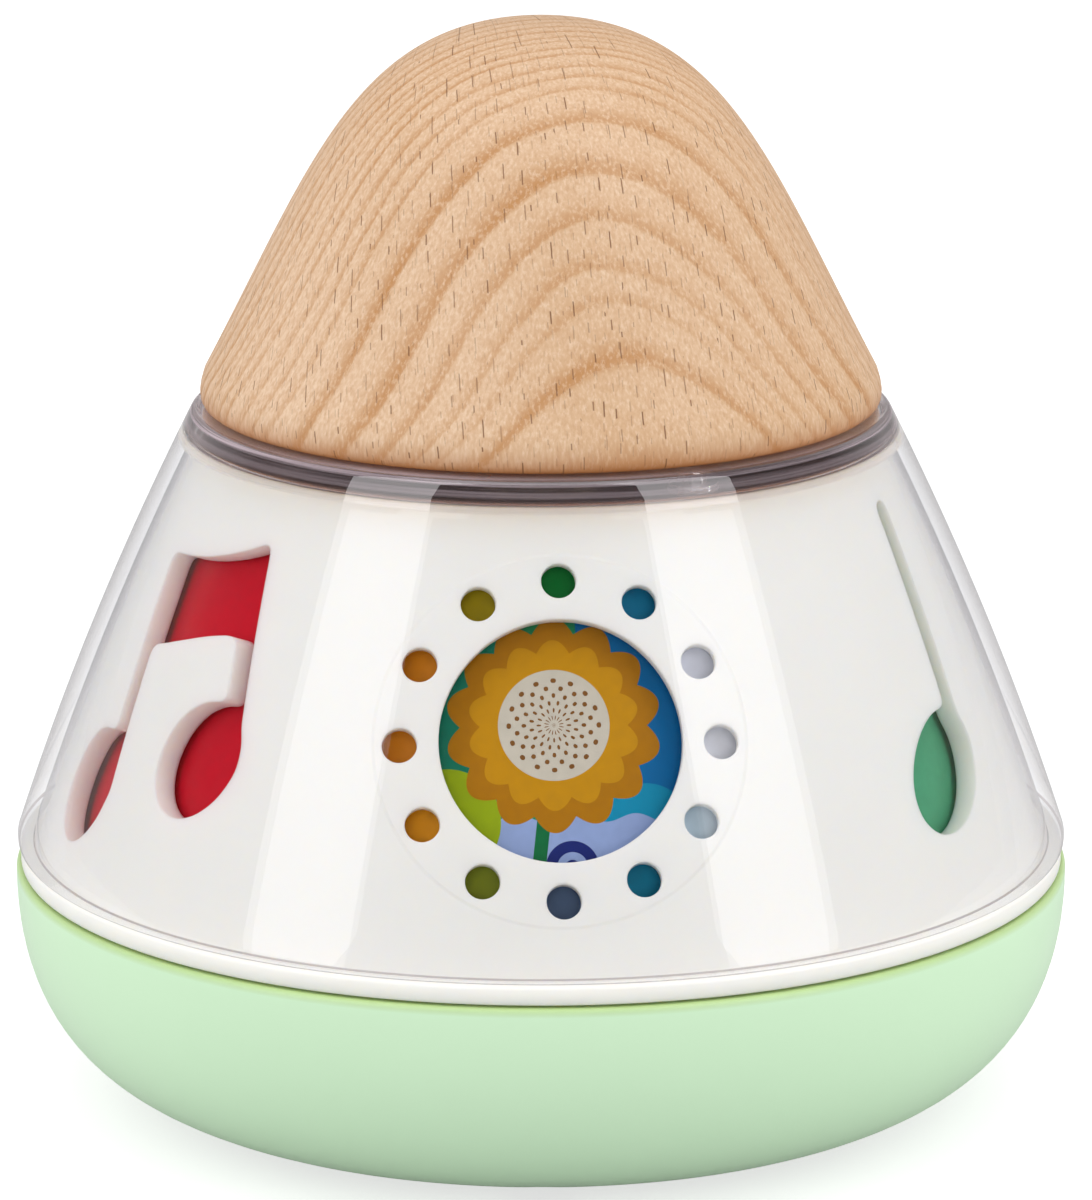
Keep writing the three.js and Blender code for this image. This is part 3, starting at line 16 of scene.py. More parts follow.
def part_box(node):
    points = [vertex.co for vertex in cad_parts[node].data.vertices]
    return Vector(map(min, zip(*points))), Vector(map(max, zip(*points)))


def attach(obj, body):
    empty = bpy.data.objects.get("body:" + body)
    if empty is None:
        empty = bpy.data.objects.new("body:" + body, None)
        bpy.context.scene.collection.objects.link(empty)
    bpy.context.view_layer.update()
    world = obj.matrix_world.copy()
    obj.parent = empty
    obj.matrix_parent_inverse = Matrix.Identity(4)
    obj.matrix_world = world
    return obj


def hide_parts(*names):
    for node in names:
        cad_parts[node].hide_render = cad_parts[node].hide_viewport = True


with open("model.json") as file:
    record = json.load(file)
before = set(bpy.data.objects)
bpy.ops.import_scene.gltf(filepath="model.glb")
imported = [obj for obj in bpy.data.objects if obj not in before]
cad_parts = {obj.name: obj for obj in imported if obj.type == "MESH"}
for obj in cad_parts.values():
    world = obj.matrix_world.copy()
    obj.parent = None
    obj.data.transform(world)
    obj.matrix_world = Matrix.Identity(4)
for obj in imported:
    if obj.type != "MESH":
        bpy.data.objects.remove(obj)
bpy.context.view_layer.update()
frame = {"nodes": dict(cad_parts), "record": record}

MM = 0.001
TAU = 2 * math.pi

# Fineness of the smooth pieces
SIDES = 192
FLANK_STEPS = 24
ARC_STEPS = 6
BOWL_STEPS = 28
CROWN_STEPS = 64
CURVE_STEPS = 16
CIRCLE_STEPS = 48
WINDOW_STEPS = 96
DOT_STEPS = 32
SHARP_ANGLE = math.radians(32)
ON_AXIS = 1e-7

# Levels and radii that the frame's boxes give
BOWL_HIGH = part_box("base_bowl")[1]
SHELL_LOW, SHELL_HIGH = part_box("window_shell")
COVER_LOW, COVER_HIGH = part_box("clear_shell")
DRUM_LOW, DRUM_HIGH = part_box("picture_drum")
DOME_LOW, DOME_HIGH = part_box("wooden_dome")
BUSH_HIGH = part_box("top_bush")[1]

# Flank of the cover, which the shells inside follow
FLANK_FOOT_RADIUS = COVER_HIGH.x
FLANK_TOP_RADIUS = 42.65 * MM
FLANK_BULGE = 1.17 * MM
COVER_EDGE = 1 * MM
FLANK_SPAN = COVER_HIGH.z - COVER_LOW.z - COVER_EDGE

# Walls and insets of the shells
SEAT_GAP = 0.3 * MM
COVER_WALL = 2 * MM
COVER_ROOF = 3 * MM
WINDOW_INSET = 3 * MM
WINDOW_WALL = 3 * MM
WINDOW_ROOF = 2 * MM
WINDOW_BORE = 28 * MM
FLANGE_TOP = COVER_LOW.z - SEAT_GAP
FLANGE_FLOOR = BOWL_HIGH.z + SEAT_GAP
SPIGOT_RADIUS = 62.5 * MM
SPIGOT_WALL = 2.4 * MM
DRUM_GAP = 0.8 * MM
DRUM_INSET = WINDOW_INSET + WINDOW_WALL + DRUM_GAP
DRUM_WALL = 1.2 * MM
DRUM_LIP = 3 * MM
BUSH_LAP = 2.7 * MM

# Rounded corners of the shells
FLANGE_ROUNDS = (0.3 * MM, 0.35 * MM)
WINDOW_TOP_ROUND = 0.6 * MM
COVER_FOOT_ROUNDS = (0.3 * MM, 0.5 * MM)
COVER_TOP_ROUND = 0.8 * MM
COVER_BENEATH_ROUND = 1 * MM
BOWL_RIM_ROUND = 0.7 * MM

# Bowl: the powers shape its side, from a circle's 2 towards a box
BOWL_WALL = 2.4 * MM
FOOT_RADIUS = 30 * MM
FOOT_WIDTH = 5 * MM
FOOT_RECESS = 0.8 * MM
SIDE_POWER = 3.05
HEEL_POWER = 2.34
WELL_CIRCLE = 47 * MM
WELL_BORE = 3.9 * MM

# Screw places: the wall's lugs and roof bosses, the seats in the cover, and the dome's pilot holes
SCREW_COUNT = 3
SCREW_TURN = math.radians(30)
LUG_INSET = 8 * MM
LUG_CIRCLE = BOWL_HIGH.x - LUG_INSET
LUG_RADIUS = 3.6 * MM
ROOF_SCREW_CIRCLE = 33 * MM
BOSS_RADIUS = 2.9 * MM
BOSS_DEPTH = 3.2 * MM
SHANK_BORE = 1.6 * MM
HEAD_BORE = 2.9 * MM
HEAD_SEAT = 1.5 * MM
PILOT_CIRCLE = 20 * MM
PILOT_DEPTH = 7.3 * MM
LUG_SKIN = 1 * MM
BORE_OVERRUN = 1 * MM

# Dome: the shares of its radius and height place the two handles of its curve
DOME_RECESS_RADIUS = 33 * MM
DOME_RECESS_DEPTH = 6 * MM
DOME_BORE_RADIUS = 5.5 * MM
DOME_BORE_DEPTH = 5.3 * MM
DOME_EDGE = 1.4 * MM
DOME_ROUND = 2.2 * MM
DOME_FLANK_SHARES = (0.663, 0.596)
DOME_CAP_SHARE = 0.544

# Cut-outs: round windows with dots, and notes
WINDOW_AZIMUTHS = [math.radians(degrees) for degrees in (2.6, 122.6, 242.6)]
WINDOW_RISE = 26.2 * MM
WINDOW_RADIUS = 14.2 * MM
DOT_COUNT = 12
DOT_CIRCLE = 18.7 * MM
DOT_RADIUS = 2.05 * MM
PAD_RADIUS = 22 * MM
NOTE_RISE = 16 * MM
STEM_WIDTH = 3 * MM
STEM_REACH = 5.3 * MM
SINGLE_NOTES = [math.radians(degrees) for degrees in (59, 180)]
SINGLE_HEAD = (8.9 * MM, 6.3 * MM, math.radians(34))
SINGLE_STEM_HEIGHT = 33 * MM
SINGLE_STEM_LEAN = 1.6 * MM
DOUBLE_NOTE = math.radians(-59)
DOUBLE_HEAD = (7.8 * MM, 6.2 * MM, math.radians(62))
NOTE_SPREAD = 22 * MM
NOTE_CLIMB = 8.4 * MM
BEAM_LENGTH = 18.1 * MM
BEAM_SHIFT = 1.5 * MM
BEAM_HEIGHT = 23 * MM
BEAM_CLIMB = 5.6 * MM
BEAM_THICKNESS = 11.6 * MM
BEAM_DIP = 4.2 * MM
CUTTER_DEPTH = 9 * MM
CUTTER_OVERRUN = 2 * MM

# Softened outlines: the field's step, spread and reach, the level of its border, and the points kept
OUTLINE_STEP = 0.15 * MM
OUTLINE_SOFTNESS = 0.8 * MM
OUTLINE_TAIL = 3 * OUTLINE_SOFTNESS
OUTLINE_REACH = 26 * MM
OUTLINE_LEVEL = 0.5
OUTLINE_STRIDE = 2


# Shapes

def outward_of(azimuth):
    """The level direction at an azimuth, which is counted from the front towards the right."""
    return (math.sin(azimuth), -math.cos(azimuth), 0.0)


def flank_radius(level):
    """A straight slope with a parabola on it, which stands out by the bulge halfway up."""
    share = (COVER_HIGH.z - level) / FLANK_SPAN
    straight = FLANK_TOP_RADIUS + (FLANK_FOOT_RADIUS - FLANK_TOP_RADIUS) * share
    return straight + 4 * FLANK_BULGE * share * (1 - share)


def flank_slope(level):
    """How the radius changes with the level."""
    share = (COVER_HIGH.z - level) / FLANK_SPAN
    fall = FLANK_FOOT_RADIUS - FLANK_TOP_RADIUS + 4 * FLANK_BULGE * (1 - 2 * share)
    return -fall / FLANK_SPAN


def flank(low, high, inset):
    """Points up (or down) the flank, set in from the cover's outside."""
    levels = [low + (high - low) * i / FLANK_STEPS for i in range(FLANK_STEPS + 1)]
    return [(flank_radius(level) - inset, level) for level in levels]


def eased(start, corner, end):
    """The points of a curve from start to end that a corner between them pulls out."""
    start, corner, end = map(Vector, (start, corner, end))
    shares = [i / ARC_STEPS for i in range(ARC_STEPS + 1)]
    return [tuple(start * (1 - s) ** 2 + corner * 2 * s * (1 - s) + end * s * s) for s in shares]


def arc(before, corner, after, size):
    """The points that round a corner between its two neighbours."""
    here = Vector(corner)
    ways = [Vector(neighbour) - here for neighbour in (before, after)]
    start, end = [here + way.normalized() * min(size, way.length / 2) for way in ways]
    return eased(start, here, end)


def rounded(points, corners):
    """A closed profile with some of its corners rounded: corners maps an index to a size."""
    made = []
    for i, point in enumerate(points):
        if i in corners:
            made += arc(points[i - 1], point, points[(i + 1) % len(points)], corners[i])
        else:
            made.append(point)
    return made


def new_object(name, mesh_data):
    piece = bpy.data.objects.new(name, mesh_data)
    bpy.context.scene.collection.objects.link(piece)
    return piece


def set_sharp_edges(mesh_data):
    """Smooth shading, broken where two faces meet at more than the sharp angle."""
    shape = bmesh.new()
    shape.from_mesh(mesh_data)
    for edge in shape.edges:
        edge.smooth = len(edge.link_faces) == 2 and edge.calc_face_angle(0) < SHARP_ANGLE
    for face in shape.faces:
        face.smooth = True
    shape.to_mesh(mesh_data)
    shape.free()


def lathe(name, profile):
    """A closed profile of (radius, level) points turned about Z."""
    shape = bmesh.new()
    ways = [outward_of(TAU * i / SIDES) for i in range(SIDES)]
    rings = []
    for radius, level in profile:
        if radius < ON_AXIS:
            rings.append([shape.verts.new((0, 0, level))])
        else:
            rings.append([shape.verts.new((radius * x, radius * y, level)) for x, y, _ in ways])
    for low, high in zip(rings, rings[1:] + rings[:1]):
        if len(low) == 1 and len(high) == 1:
            continue
        for i in range(SIDES):
            j = (i + 1) % SIDES
            loop = [low[i % len(low)], low[j % len(low)], high[j % len(high)], high[i % len(high)]]
            shape.faces.new(list(dict.fromkeys(loop)))
    bmesh.ops.recalc_face_normals(shape, faces=shape.faces)
    made = bpy.data.meshes.new(name)
    shape.to_mesh(made)
    shape.free()
    set_sharp_edges(made)
    return new_object(name, made)


def prism(outline, low, high, matrix=Matrix.Identity(4)):
    """A bmesh prism over a flat outline, from one height to another, then placed by a matrix."""
    shape = bmesh.new()
    bottom = [shape.verts.new((x, y, low)) for x, y in outline]
    top = [shape.verts.new((x, y, high)) for x, y in outline]
    shape.faces.new(list(reversed(bottom)))
    shape.faces.new(top)
    for i in range(len(outline)):
        j = (i + 1) % len(outline)
        shape.faces.new([bottom[i], bottom[j], top[j], top[i]])
    shape.transform(matrix)
    bmesh.ops.recalc_face_normals(shape, faces=shape.faces)
    return shape


def combine(piece, shapes, operation="DIFFERENCE"):
    """Takes shapes that don't meet each other out of a piece, or joins them to it."""
    joined = bmesh.new()
    for shape in shapes:
        part = bpy.data.meshes.new("cutter")
        shape.to_mesh(part)
        shape.free()
        joined.from_mesh(part)
        bpy.data.meshes.remove(part)
    data = bpy.data.meshes.new("cutters")
    joined.to_mesh(data)
    joined.free()
    tool = new_object("cutters", data)
    modifier = piece.modifiers.new("combine", "BOOLEAN")
    modifier.operation = operation
    modifier.solver = "EXACT"
    modifier.object = tool
    evaluated = piece.evaluated_get(bpy.context.evaluated_depsgraph_get())
    result = bpy.data.meshes.new_from_object(evaluated)
    piece.modifiers.clear()
    old = piece.data
    piece.data = result
    bpy.data.objects.remove(tool)
    bpy.data.meshes.remove(old)
    set_sharp_edges(piece.data)


def rods(ring, first, radius, low, high):
    """Upright rods on a ring round Z, one for each screw, for bosses and for the holes in them."""
    ways = [outward_of(first + TAU * i / SCREW_COUNT) for i in range(SCREW_COUNT)]
    return [prism(circle(ring * x, ring * y, radius), low, high) for x, y, _ in ways]


def ellipse(x, y, long, short, tilt=0.0, steps=CIRCLE_STEPS):
    points = []
    for i in range(steps):
        turn = TAU * i / steps
        along, across = long * math.cos(turn), short * math.sin(turn)
        points.append((
            x + along * math.cos(tilt) - across * math.sin(tilt),
            y + along * math.sin(tilt) + across * math.cos(tilt),
        ))
    return points


def circle(x, y, radius, steps=CIRCLE_STEPS):
    return ellipse(x, y, radius, radius, 0.0, steps)


def bezier(a, b, c, d, steps=CURVE_STEPS):
    """The points of a cubic curve, without its last."""
    a, b, c, d = map(Vector, (a, b, c, d))
    shares = [i / steps for i in range(steps)]
    return [
        tuple(a * (1 - s) ** 3 + b * 3 * s * (1 - s) ** 2 + c * 3 * s * s * (1 - s) + d * s ** 3)
        for s in shares
    ]


def flank_frame(azimuth, level):
    """The plane that touches the white wall at a place: X to the right, Y up, Z outward."""
    sideways = Vector((math.cos(azimuth), math.sin(azimuth), 0))
    outward_flat = Vector(outward_of(azimuth))
    upward = (outward_flat * flank_slope(level) + Vector((0, 0, 1))).normalized()
    outward = sideways.cross(upward)
    place = outward_flat * (flank_radius(level) - WINDOW_INSET)
    place.z = level
    columns = Matrix((sideways, upward, outward)).transposed().to_4x4()
    return Matrix.Translation(place) @ columns


def through(outline, matrix):
    return prism(outline, -CUTTER_DEPTH, CUTTER_OVERRUN, matrix)


def inside(outline, x, y):
    """Which places lie within an outline, by how often a way to the right crosses it."""
    odd = np.zeros(x.shape, bool)
    for (ax, ay), (bx, by) in zip(outline, outline[1:] + outline[:1]):
        if ay != by:
            odd ^= ((ay > y) != (by > y)) & (x < ax + (y - ay) * (bx - ax) / (by - ay))
    return odd


def melted(outlines, middle):
    """One outline round several that overlap, with its corners softened as moulding leaves them."""
    count = int(2 * OUTLINE_REACH / OUTLINE_STEP)
    line = np.linspace(-OUTLINE_REACH, OUTLINE_REACH, count)
    x, y = np.meshgrid(line + middle[0], line + middle[1])
    field = np.any([inside(outline, x, y) for outline in outlines], axis=0).astype(float)
    spread = np.arange(-OUTLINE_TAIL, OUTLINE_TAIL, OUTLINE_STEP)
    weights = np.exp(-0.5 * (spread / OUTLINE_SOFTNESS) ** 2)
    for axis in (0, 1):
        field = np.apply_along_axis(np.convolve, axis, field, weights / weights.sum(), "same")
    number = np.arange(count * count).reshape(count, count)
    corners = (number[:-1, :-1], number[:-1, 1:], number[1:, 1:], number[1:, :-1])
    squares = np.stack([c.ravel() for c in corners], axis=1)
    near = field.ravel()[squares]
    squares = squares[(near.max(axis=1) > OUTLINE_LEVEL) & (near.min(axis=1) <= OUTLINE_LEVEL)]
    used, squares = np.unique(squares, return_inverse=True)
    places = np.stack([x.ravel()[used], y.ravel()[used], field.ravel()[used] * MM], axis=1)
    data = bpy.data.meshes.new("field")
    data.from_pydata(places.tolist(), [], squares.reshape(-1, 4).tolist())
    shape = bmesh.new()
    shape.from_mesh(data)
    bpy.data.meshes.remove(data)
    everything = shape.verts[:] + shape.edges[:] + shape.faces[:]
    border_level = (0, 0, OUTLINE_LEVEL * MM)
    found = bmesh.ops.bisect_plane(shape, geom=everything, plane_co=border_level, plane_no=(0, 0, 1))
    border = {edge for edge in found["geom_cut"] if isinstance(edge, bmesh.types.BMEdge)}
    first = min(border, key=lambda edge: edge.index)
    walk, point = [first.verts[0].co.copy()], first.verts[1]
    border.remove(first)
    while True:
        walk.append(point.co.copy())
        onward = [edge for edge in point.link_edges if edge in border]
        if not onward:
            break
        border.remove(onward[0])
        point = onward[0].other_vert(point)
    shape.free()
    return [(p.x, p.y) for p in walk[:-1:OUTLINE_STRIDE]]


def stem(foot, top):
    """A note's stem, with its ends cut level."""
    half = STEM_WIDTH / 2
    (low_x, low_y), (high_x, high_y) = foot, top
    return [(low_x - half, low_y), (low_x + half, low_y), (high_x + half, high_y), (high_x - half, high_y)]


def single_note():
    """A tilted head with one leaning stem."""
    top = (STEM_REACH + SINGLE_STEM_LEAN, SINGLE_STEM_HEIGHT)
    shapes = [ellipse(0, 0, *SINGLE_HEAD), stem((STEM_REACH, 0), top)]
    return melted(shapes, (0, SINGLE_STEM_HEIGHT / 2))


def double_note():
    """Two heads whose stems lean to the ends of one wide beam, which they bound on both sides."""
    half, third = BEAM_THICKNESS / 2, BEAM_LENGTH / 3
    shapes, ends = [], []
    for side in (-1, 1):
        x, y = side * NOTE_SPREAD / 2, side * NOTE_CLIMB / 2
        foot = (x + STEM_REACH, y)
        top = (side * BEAM_LENGTH / 2 + BEAM_SHIFT, BEAM_HEIGHT + side * BEAM_CLIMB / 2)
        shapes += [ellipse(x, y, *DOUBLE_HEAD), stem(foot, top)]
        lean = (top[0] - foot[0]) / (top[1] - foot[1])
        edge = top[0] + side * STEM_WIDTH / 2
        ends.append(((edge - half * lean, top[1] - half), (edge + half * lean, top[1] + half)))
    (left_low, left_high), (right_low, right_high) = ends
    rising, falling = (left_low[0] + third, left_low[1]), (right_low[0] - third, right_low[1])
    low = bezier(left_low, rising, falling, right_low)
    falling, rising = (right_high[0] - third, right_high[1] - BEAM_DIP), (left_high[0] + third, left_high[1])
    high = bezier(right_high, falling, rising, left_high)
    shapes.append(low + [right_low] + high + [left_high])
    return melted(shapes, (0, BEAM_HEIGHT / 2))


# Pieces

def bowl_side(rim_radius, floor):
    """The bowl's flowing side, from its foot up to its rim."""
    points = []
    for i in range(BOWL_STEPS + 1):
        turn = math.pi / 2 * (1 - i / BOWL_STEPS)
        radius = FOOT_RADIUS + (rim_radius - FOOT_RADIUS) * math.cos(turn) ** (2 / SIDE_POWER)
        level = BOWL_HIGH.z - (BOWL_HIGH.z - floor) * math.sin(turn) ** (2 / HEEL_POWER)
        points.append((radius, level))
    return points


def make_bowl():
    """The bowl on its ring foot. The wells' cutters pass the floor where it begins to rise."""
    rim, bore, floor = BOWL_HIGH.x, BOWL_HIGH.x - BOWL_WALL, FOOT_RECESS + BOWL_WALL
    outside = [
        (0, FOOT_RECESS),
        (FOOT_RADIUS - FOOT_WIDTH - FOOT_RECESS, FOOT_RECESS),
        (FOOT_RADIUS - FOOT_WIDTH, 0),
        *bowl_side(rim, 0)[:-1],
    ]
    edge = arc(outside[-1], (rim, BOWL_HIGH.z), (bore, BOWL_HIGH.z), BOWL_RIM_ROUND)
    hollow = list(reversed(bowl_side(bore, floor)))
    piece = lathe("bowl", outside + edge + hollow + [(0, floor)])
    combine(piece, rods(WELL_CIRCLE, 0, WELL_BORE, -BORE_OVERRUN, floor * 2))
    return piece


def make_window_shell():
    """The white wall with its flange, spigot, lugs and bosses, and the windows and notes cut in it."""
    flange = SHELL_HIGH.x
    profile = [
        (SPIGOT_RADIUS - SPIGOT_WALL, SHELL_LOW.z),
        (SPIGOT_RADIUS, SHELL_LOW.z),
        (SPIGOT_RADIUS, FLANGE_FLOOR),
        (flange, FLANGE_FLOOR),
        (flange, FLANGE_TOP),
        *flank(FLANGE_TOP, SHELL_HIGH.z, WINDOW_INSET),
        (WINDOW_BORE, SHELL_HIGH.z),
        (WINDOW_BORE, SHELL_HIGH.z - WINDOW_ROOF),
        *flank(SHELL_HIGH.z - WINDOW_ROOF, FLANGE_TOP, WINDOW_INSET + WINDOW_WALL),
    ]
    corners = {3: FLANGE_ROUNDS[0], 4: FLANGE_ROUNDS[1], 5 + FLANK_STEPS: WINDOW_TOP_ROUND}
    piece = lathe("window_wall", rounded(profile, corners))
    boss_floor = SHELL_HIGH.z - BOSS_DEPTH
    lugs = rods(LUG_CIRCLE, SCREW_TURN, LUG_RADIUS, SHELL_LOW.z, FLANGE_TOP)
    bosses = rods(ROOF_SCREW_CIRCLE, SCREW_TURN, BOSS_RADIUS, boss_floor, SHELL_HIGH.z - WINDOW_ROOF / 2)
    combine(piece, lugs + bosses, "UNION")
    cuts = rods(LUG_CIRCLE, SCREW_TURN, SHANK_BORE, SHELL_LOW.z - BORE_OVERRUN, FLANGE_TOP - LUG_SKIN)
    through_roof = (boss_floor + SEAT_GAP, SHELL_HIGH.z + BORE_OVERRUN)
    cuts += rods(ROOF_SCREW_CIRCLE, SCREW_TURN, SHANK_BORE, *through_roof)
    for azimuth in WINDOW_AZIMUTHS:
        here = flank_frame(azimuth, FLANGE_TOP + WINDOW_RISE)
        cuts.append(through(circle(0, 0, WINDOW_RADIUS, WINDOW_STEPS), here))
        for i in range(DOT_COUNT):
            turn = TAU * i / DOT_COUNT
            middle = (DOT_CIRCLE * math.sin(turn), DOT_CIRCLE * math.cos(turn))
            cuts.append(through(circle(*middle, DOT_RADIUS, DOT_STEPS), here))
    notes = [(azimuth, single_note()) for azimuth in SINGLE_NOTES] + [(DOUBLE_NOTE, double_note())]
    cuts += [through(note, flank_frame(azimuth, FLANGE_TOP + NOTE_RISE)) for azimuth, note in notes]
    combine(piece, cuts)
    return piece


def make_cover():
    """The clear cover, whose roof the bush laps over round its bore, with seats for the screw heads."""
    bore = BUSH_HIGH.x - BUSH_LAP
    roof = COVER_HIGH.z - COVER_ROOF
    profile = [
        (FLANK_FOOT_RADIUS - COVER_WALL, COVER_LOW.z),
        (FLANK_FOOT_RADIUS, COVER_LOW.z),
        *flank(COVER_LOW.z + COVER_EDGE, COVER_HIGH.z, 0),
        (bore, COVER_HIGH.z),
        (bore, roof),
        *flank(roof, COVER_LOW.z, COVER_WALL)[:-1],
    ]
    corners = {
        0: COVER_FOOT_ROUNDS[0],
        1: COVER_FOOT_ROUNDS[1],
        2 + FLANK_STEPS: COVER_TOP_ROUND,
        5 + FLANK_STEPS: COVER_BENEATH_ROUND,
    }
    piece = lathe("clear_cover", rounded(profile, corners))
    seats = (COVER_HIGH.z - HEAD_SEAT, COVER_HIGH.z + BORE_OVERRUN)
    combine(piece, rods(ROOF_SCREW_CIRCLE, SCREW_TURN, HEAD_BORE, *seats))
    combine(piece, rods(ROOF_SCREW_CIRCLE, SCREW_TURN, SHANK_BORE, roof - BORE_OVERRUN, COVER_HIGH.z))
    return piece


def make_dome():
    """The wooden dome, one curve from its rounded lower edge to its top, bored for hub and screws."""
    radius, floor, top = DOME_HIGH.x, DOME_LOW.z, DOME_HIGH.z
    height = top - floor
    recess, bore = floor + DOME_RECESS_DEPTH, floor + DOME_RECESS_DEPTH + DOME_BORE_DEPTH
    flank_share, rise_share = DOME_FLANK_SHARES
    crown = bezier(
        (radius, floor + DOME_EDGE),
        (radius * flank_share, floor + height * rise_share),
        (radius * DOME_CAP_SHARE, top),
        (0, top),
        steps=CROWN_STEPS,
    )
    profile = [
        (0, bore),
        (DOME_BORE_RADIUS, bore),
        (DOME_BORE_RADIUS, recess),
        (DOME_RECESS_RADIUS, recess),
        (DOME_RECESS_RADIUS, floor),
        *eased((radius - DOME_ROUND, floor), (radius, floor), crown[2]),
        *crown[3:],
        (0, top),
    ]
    piece = lathe("dome", profile)
    combine(piece, rods(PILOT_CIRCLE, 0, SHANK_BORE, recess - BORE_OVERRUN, recess + PILOT_DEPTH))
    return piece


def make_drum():
    """The drum that carries the print, close behind the white wall."""
    inner = DRUM_INSET + DRUM_WALL
    lip = flank_radius(DRUM_HIGH.z) - inner - DRUM_LIP
    return lathe("drum", [
        *flank(DRUM_LOW.z, DRUM_HIGH.z, DRUM_INSET),
        (lip, DRUM_HIGH.z),
        (lip, DRUM_HIGH.z - DRUM_WALL),
        *flank(DRUM_HIGH.z - DRUM_WALL, DRUM_LOW.z, inner),
    ])


# Node trees

# Most values of a noise lie between these two
NOISE_SPREAD = (0.3, 0.7)
RIGHT = (1.0, 0.0, 0.0)
UP = (0.0, 0.0, 1.0)
WHITE = (1.0, 1.0, 1.0, 1.0)


def linear(red, green, blue):
    """A colour of 0 to 255 as Blender's linear values, by the sRGB curve."""
    channels = []
    for value in (red, green, blue):
        share = value / 255
        channels.append(share / 12.92 if share <= 0.04045 else ((share + 0.055) / 1.055) ** 2.4)
    return (*channels, 1.0)


def grey(value):
    return (value, value, value, 1.0)


def darker(colour, share):
    return (*(share * channel for channel in colour[:3]), 1.0)


class Tree:
    """A node tree, with short calls for the nodes it is made of."""

    def __init__(self, tree):
        self.tree = tree

    def node(self, kind, feeds=None, **settings):
        made = self.tree.nodes.new(kind)
        for key, value in settings.items():
            setattr(made, key, value)
        for key, value in (feeds or {}).items():
            self.feed(made.inputs[key], value)
        return made

    def feed(self, socket, value):
        if isinstance(value, bpy.types.NodeSocket):
            self.tree.links.new(value, socket)
        else:
            socket.default_value = value

    def maths(self, operation, *values):
        return self.node("ShaderNodeMath", dict(enumerate(values)), operation=operation).outputs[0]

    def plus(self, first, second):
        return self.maths("ADD", first, second)

    def minus(self, first, second):
        return self.maths("SUBTRACT", first, second)

    def times(self, first, second):
        return self.maths("MULTIPLY", first, second)

    def under(self, value, limit):
        """One where a value is under a limit, and nought elsewhere."""
        return self.maths("LESS_THAN", value, limit)

    def over(self, value, limit):
        """One where a value is over a limit, and nought elsewhere."""
        return self.maths("GREATER_THAN", value, limit)

    def length(self, x, y):
        return self.maths("SQRT", self.plus(self.times(x, x), self.times(y, y)))

    def vector(self, operation, *values):
        return self.node("ShaderNodeVectorMath", dict(enumerate(values)), operation=operation).outputs[0]

    def split(self, vector):
        return self.node("ShaderNodeSeparateXYZ", {0: vector}).outputs

    def span(self, value, low, high, to_low=0.0, to_high=1.0, smooth=False):
        """A value carried from one range to another, and held at its ends."""
        kind = "SMOOTHSTEP" if smooth else "LINEAR"
        feeds = {"Value": value, "From Min": low, "From Max": high, "To Min": to_low, "To Max": to_high}
        return self.node("ShaderNodeMapRange", feeds, interpolation_type=kind).outputs["Result"]

    def blend(self, share, base, over):
        """One colour laid over another, through the colour sockets of a mix node."""
        return self.node("ShaderNodeMix", {0: share, 6: base, 7: over}, data_type="RGBA").outputs[2]

    def mix(self, share, base, over):
        """One shader laid over another."""
        return self.node("ShaderNodeMixShader", {0: share, 1: base, 2: over}).outputs[0]

    def ramp(self, value, stops, constant=False):
        made = self.node("ShaderNodeValToRGB", {"Fac": value})
        made.color_ramp.interpolation = "CONSTANT" if constant else "LINEAR"
        elements = made.color_ramp.elements
        while len(elements) > 1:
            elements.remove(elements[-1])
        elements[0].position, elements[0].color = stops[0]
        for place, colour in stops[1:]:
            elements.new(place).color = colour
        return made.outputs["Color"]

    def bump(self, height, distance, strength=1.0, normal=None):
        feeds = {"Height": height, "Distance": distance, "Strength": strength}
        if normal is not None:
            feeds["Normal"] = normal
        return self.node("ShaderNodeBump", feeds).outputs["Normal"]


class Finish(Tree):
    """A material with one Principled shader, and the places on the piece."""

    def __init__(self, name, **constants):
        self.material = bpy.data.materials.new(name)
        self.material.use_nodes = True
        super().__init__(self.material.node_tree)
        self.shader = self.tree.nodes["Principled BSDF"]
        self.output = self.tree.nodes["Material Output"]
        for socket, value in constants.items():
            self.shader.inputs[socket.replace("_", " ")].default_value = value
        self.place = self.node("ShaderNodeTexCoord").outputs["Object"]

    def give(self, socket, value):
        self.feed(self.shader.inputs[socket], value)

    def given(self, socket):
        """What feeds one of the shader's sockets so far."""
        return self.shader.inputs[socket].links[0].from_socket

    def dot(self, direction):
        """How far the place lies along a direction."""
        feeds = {0: self.place, 1: direction}
        return self.node("ShaderNodeVectorMath", feeds, operation="DOT_PRODUCT").outputs["Value"]

    def stretched(self, scale):
        return self.vector("MULTIPLY", self.place, scale)

    def noise(self, scale, detail, place=None, roughness=0.5):
        feeds = {"Vector": place or self.place, "Scale": scale, "Detail": detail, "Roughness": roughness}
        return self.node("ShaderNodeTexNoise", feeds).outputs["Fac"]

    def mottle(self, noise, low, high):
        """A noise of a scale and detail, carried to a range of values."""
        return self.span(self.noise(*noise), *NOISE_SPREAD, low, high)

    def paint(self, piece):
        piece.data.materials.clear()
        piece.data.materials.append(self.material)


def tangent(finish, azimuth):
    """Places in the plane that touches the wall at a window's middle: to the right, and up."""
    here = flank_frame(azimuth, FLANGE_TOP + WINDOW_RISE)
    middle = here.translation
    ways = [here.col[i].to_3d() for i in (0, 1)]
    return [finish.minus(finish.dot(tuple(way)), way.dot(middle)) for way in ways]


def in_front(finish, azimuth):
    """One on the side of the piece that a direction points to, and nought on the other."""
    return finish.over(finish.dot(outward_of(azimuth)), 0.0)


# Plastics and metals: a noise is its scale and detail, a tone how far a darker colour covers the first

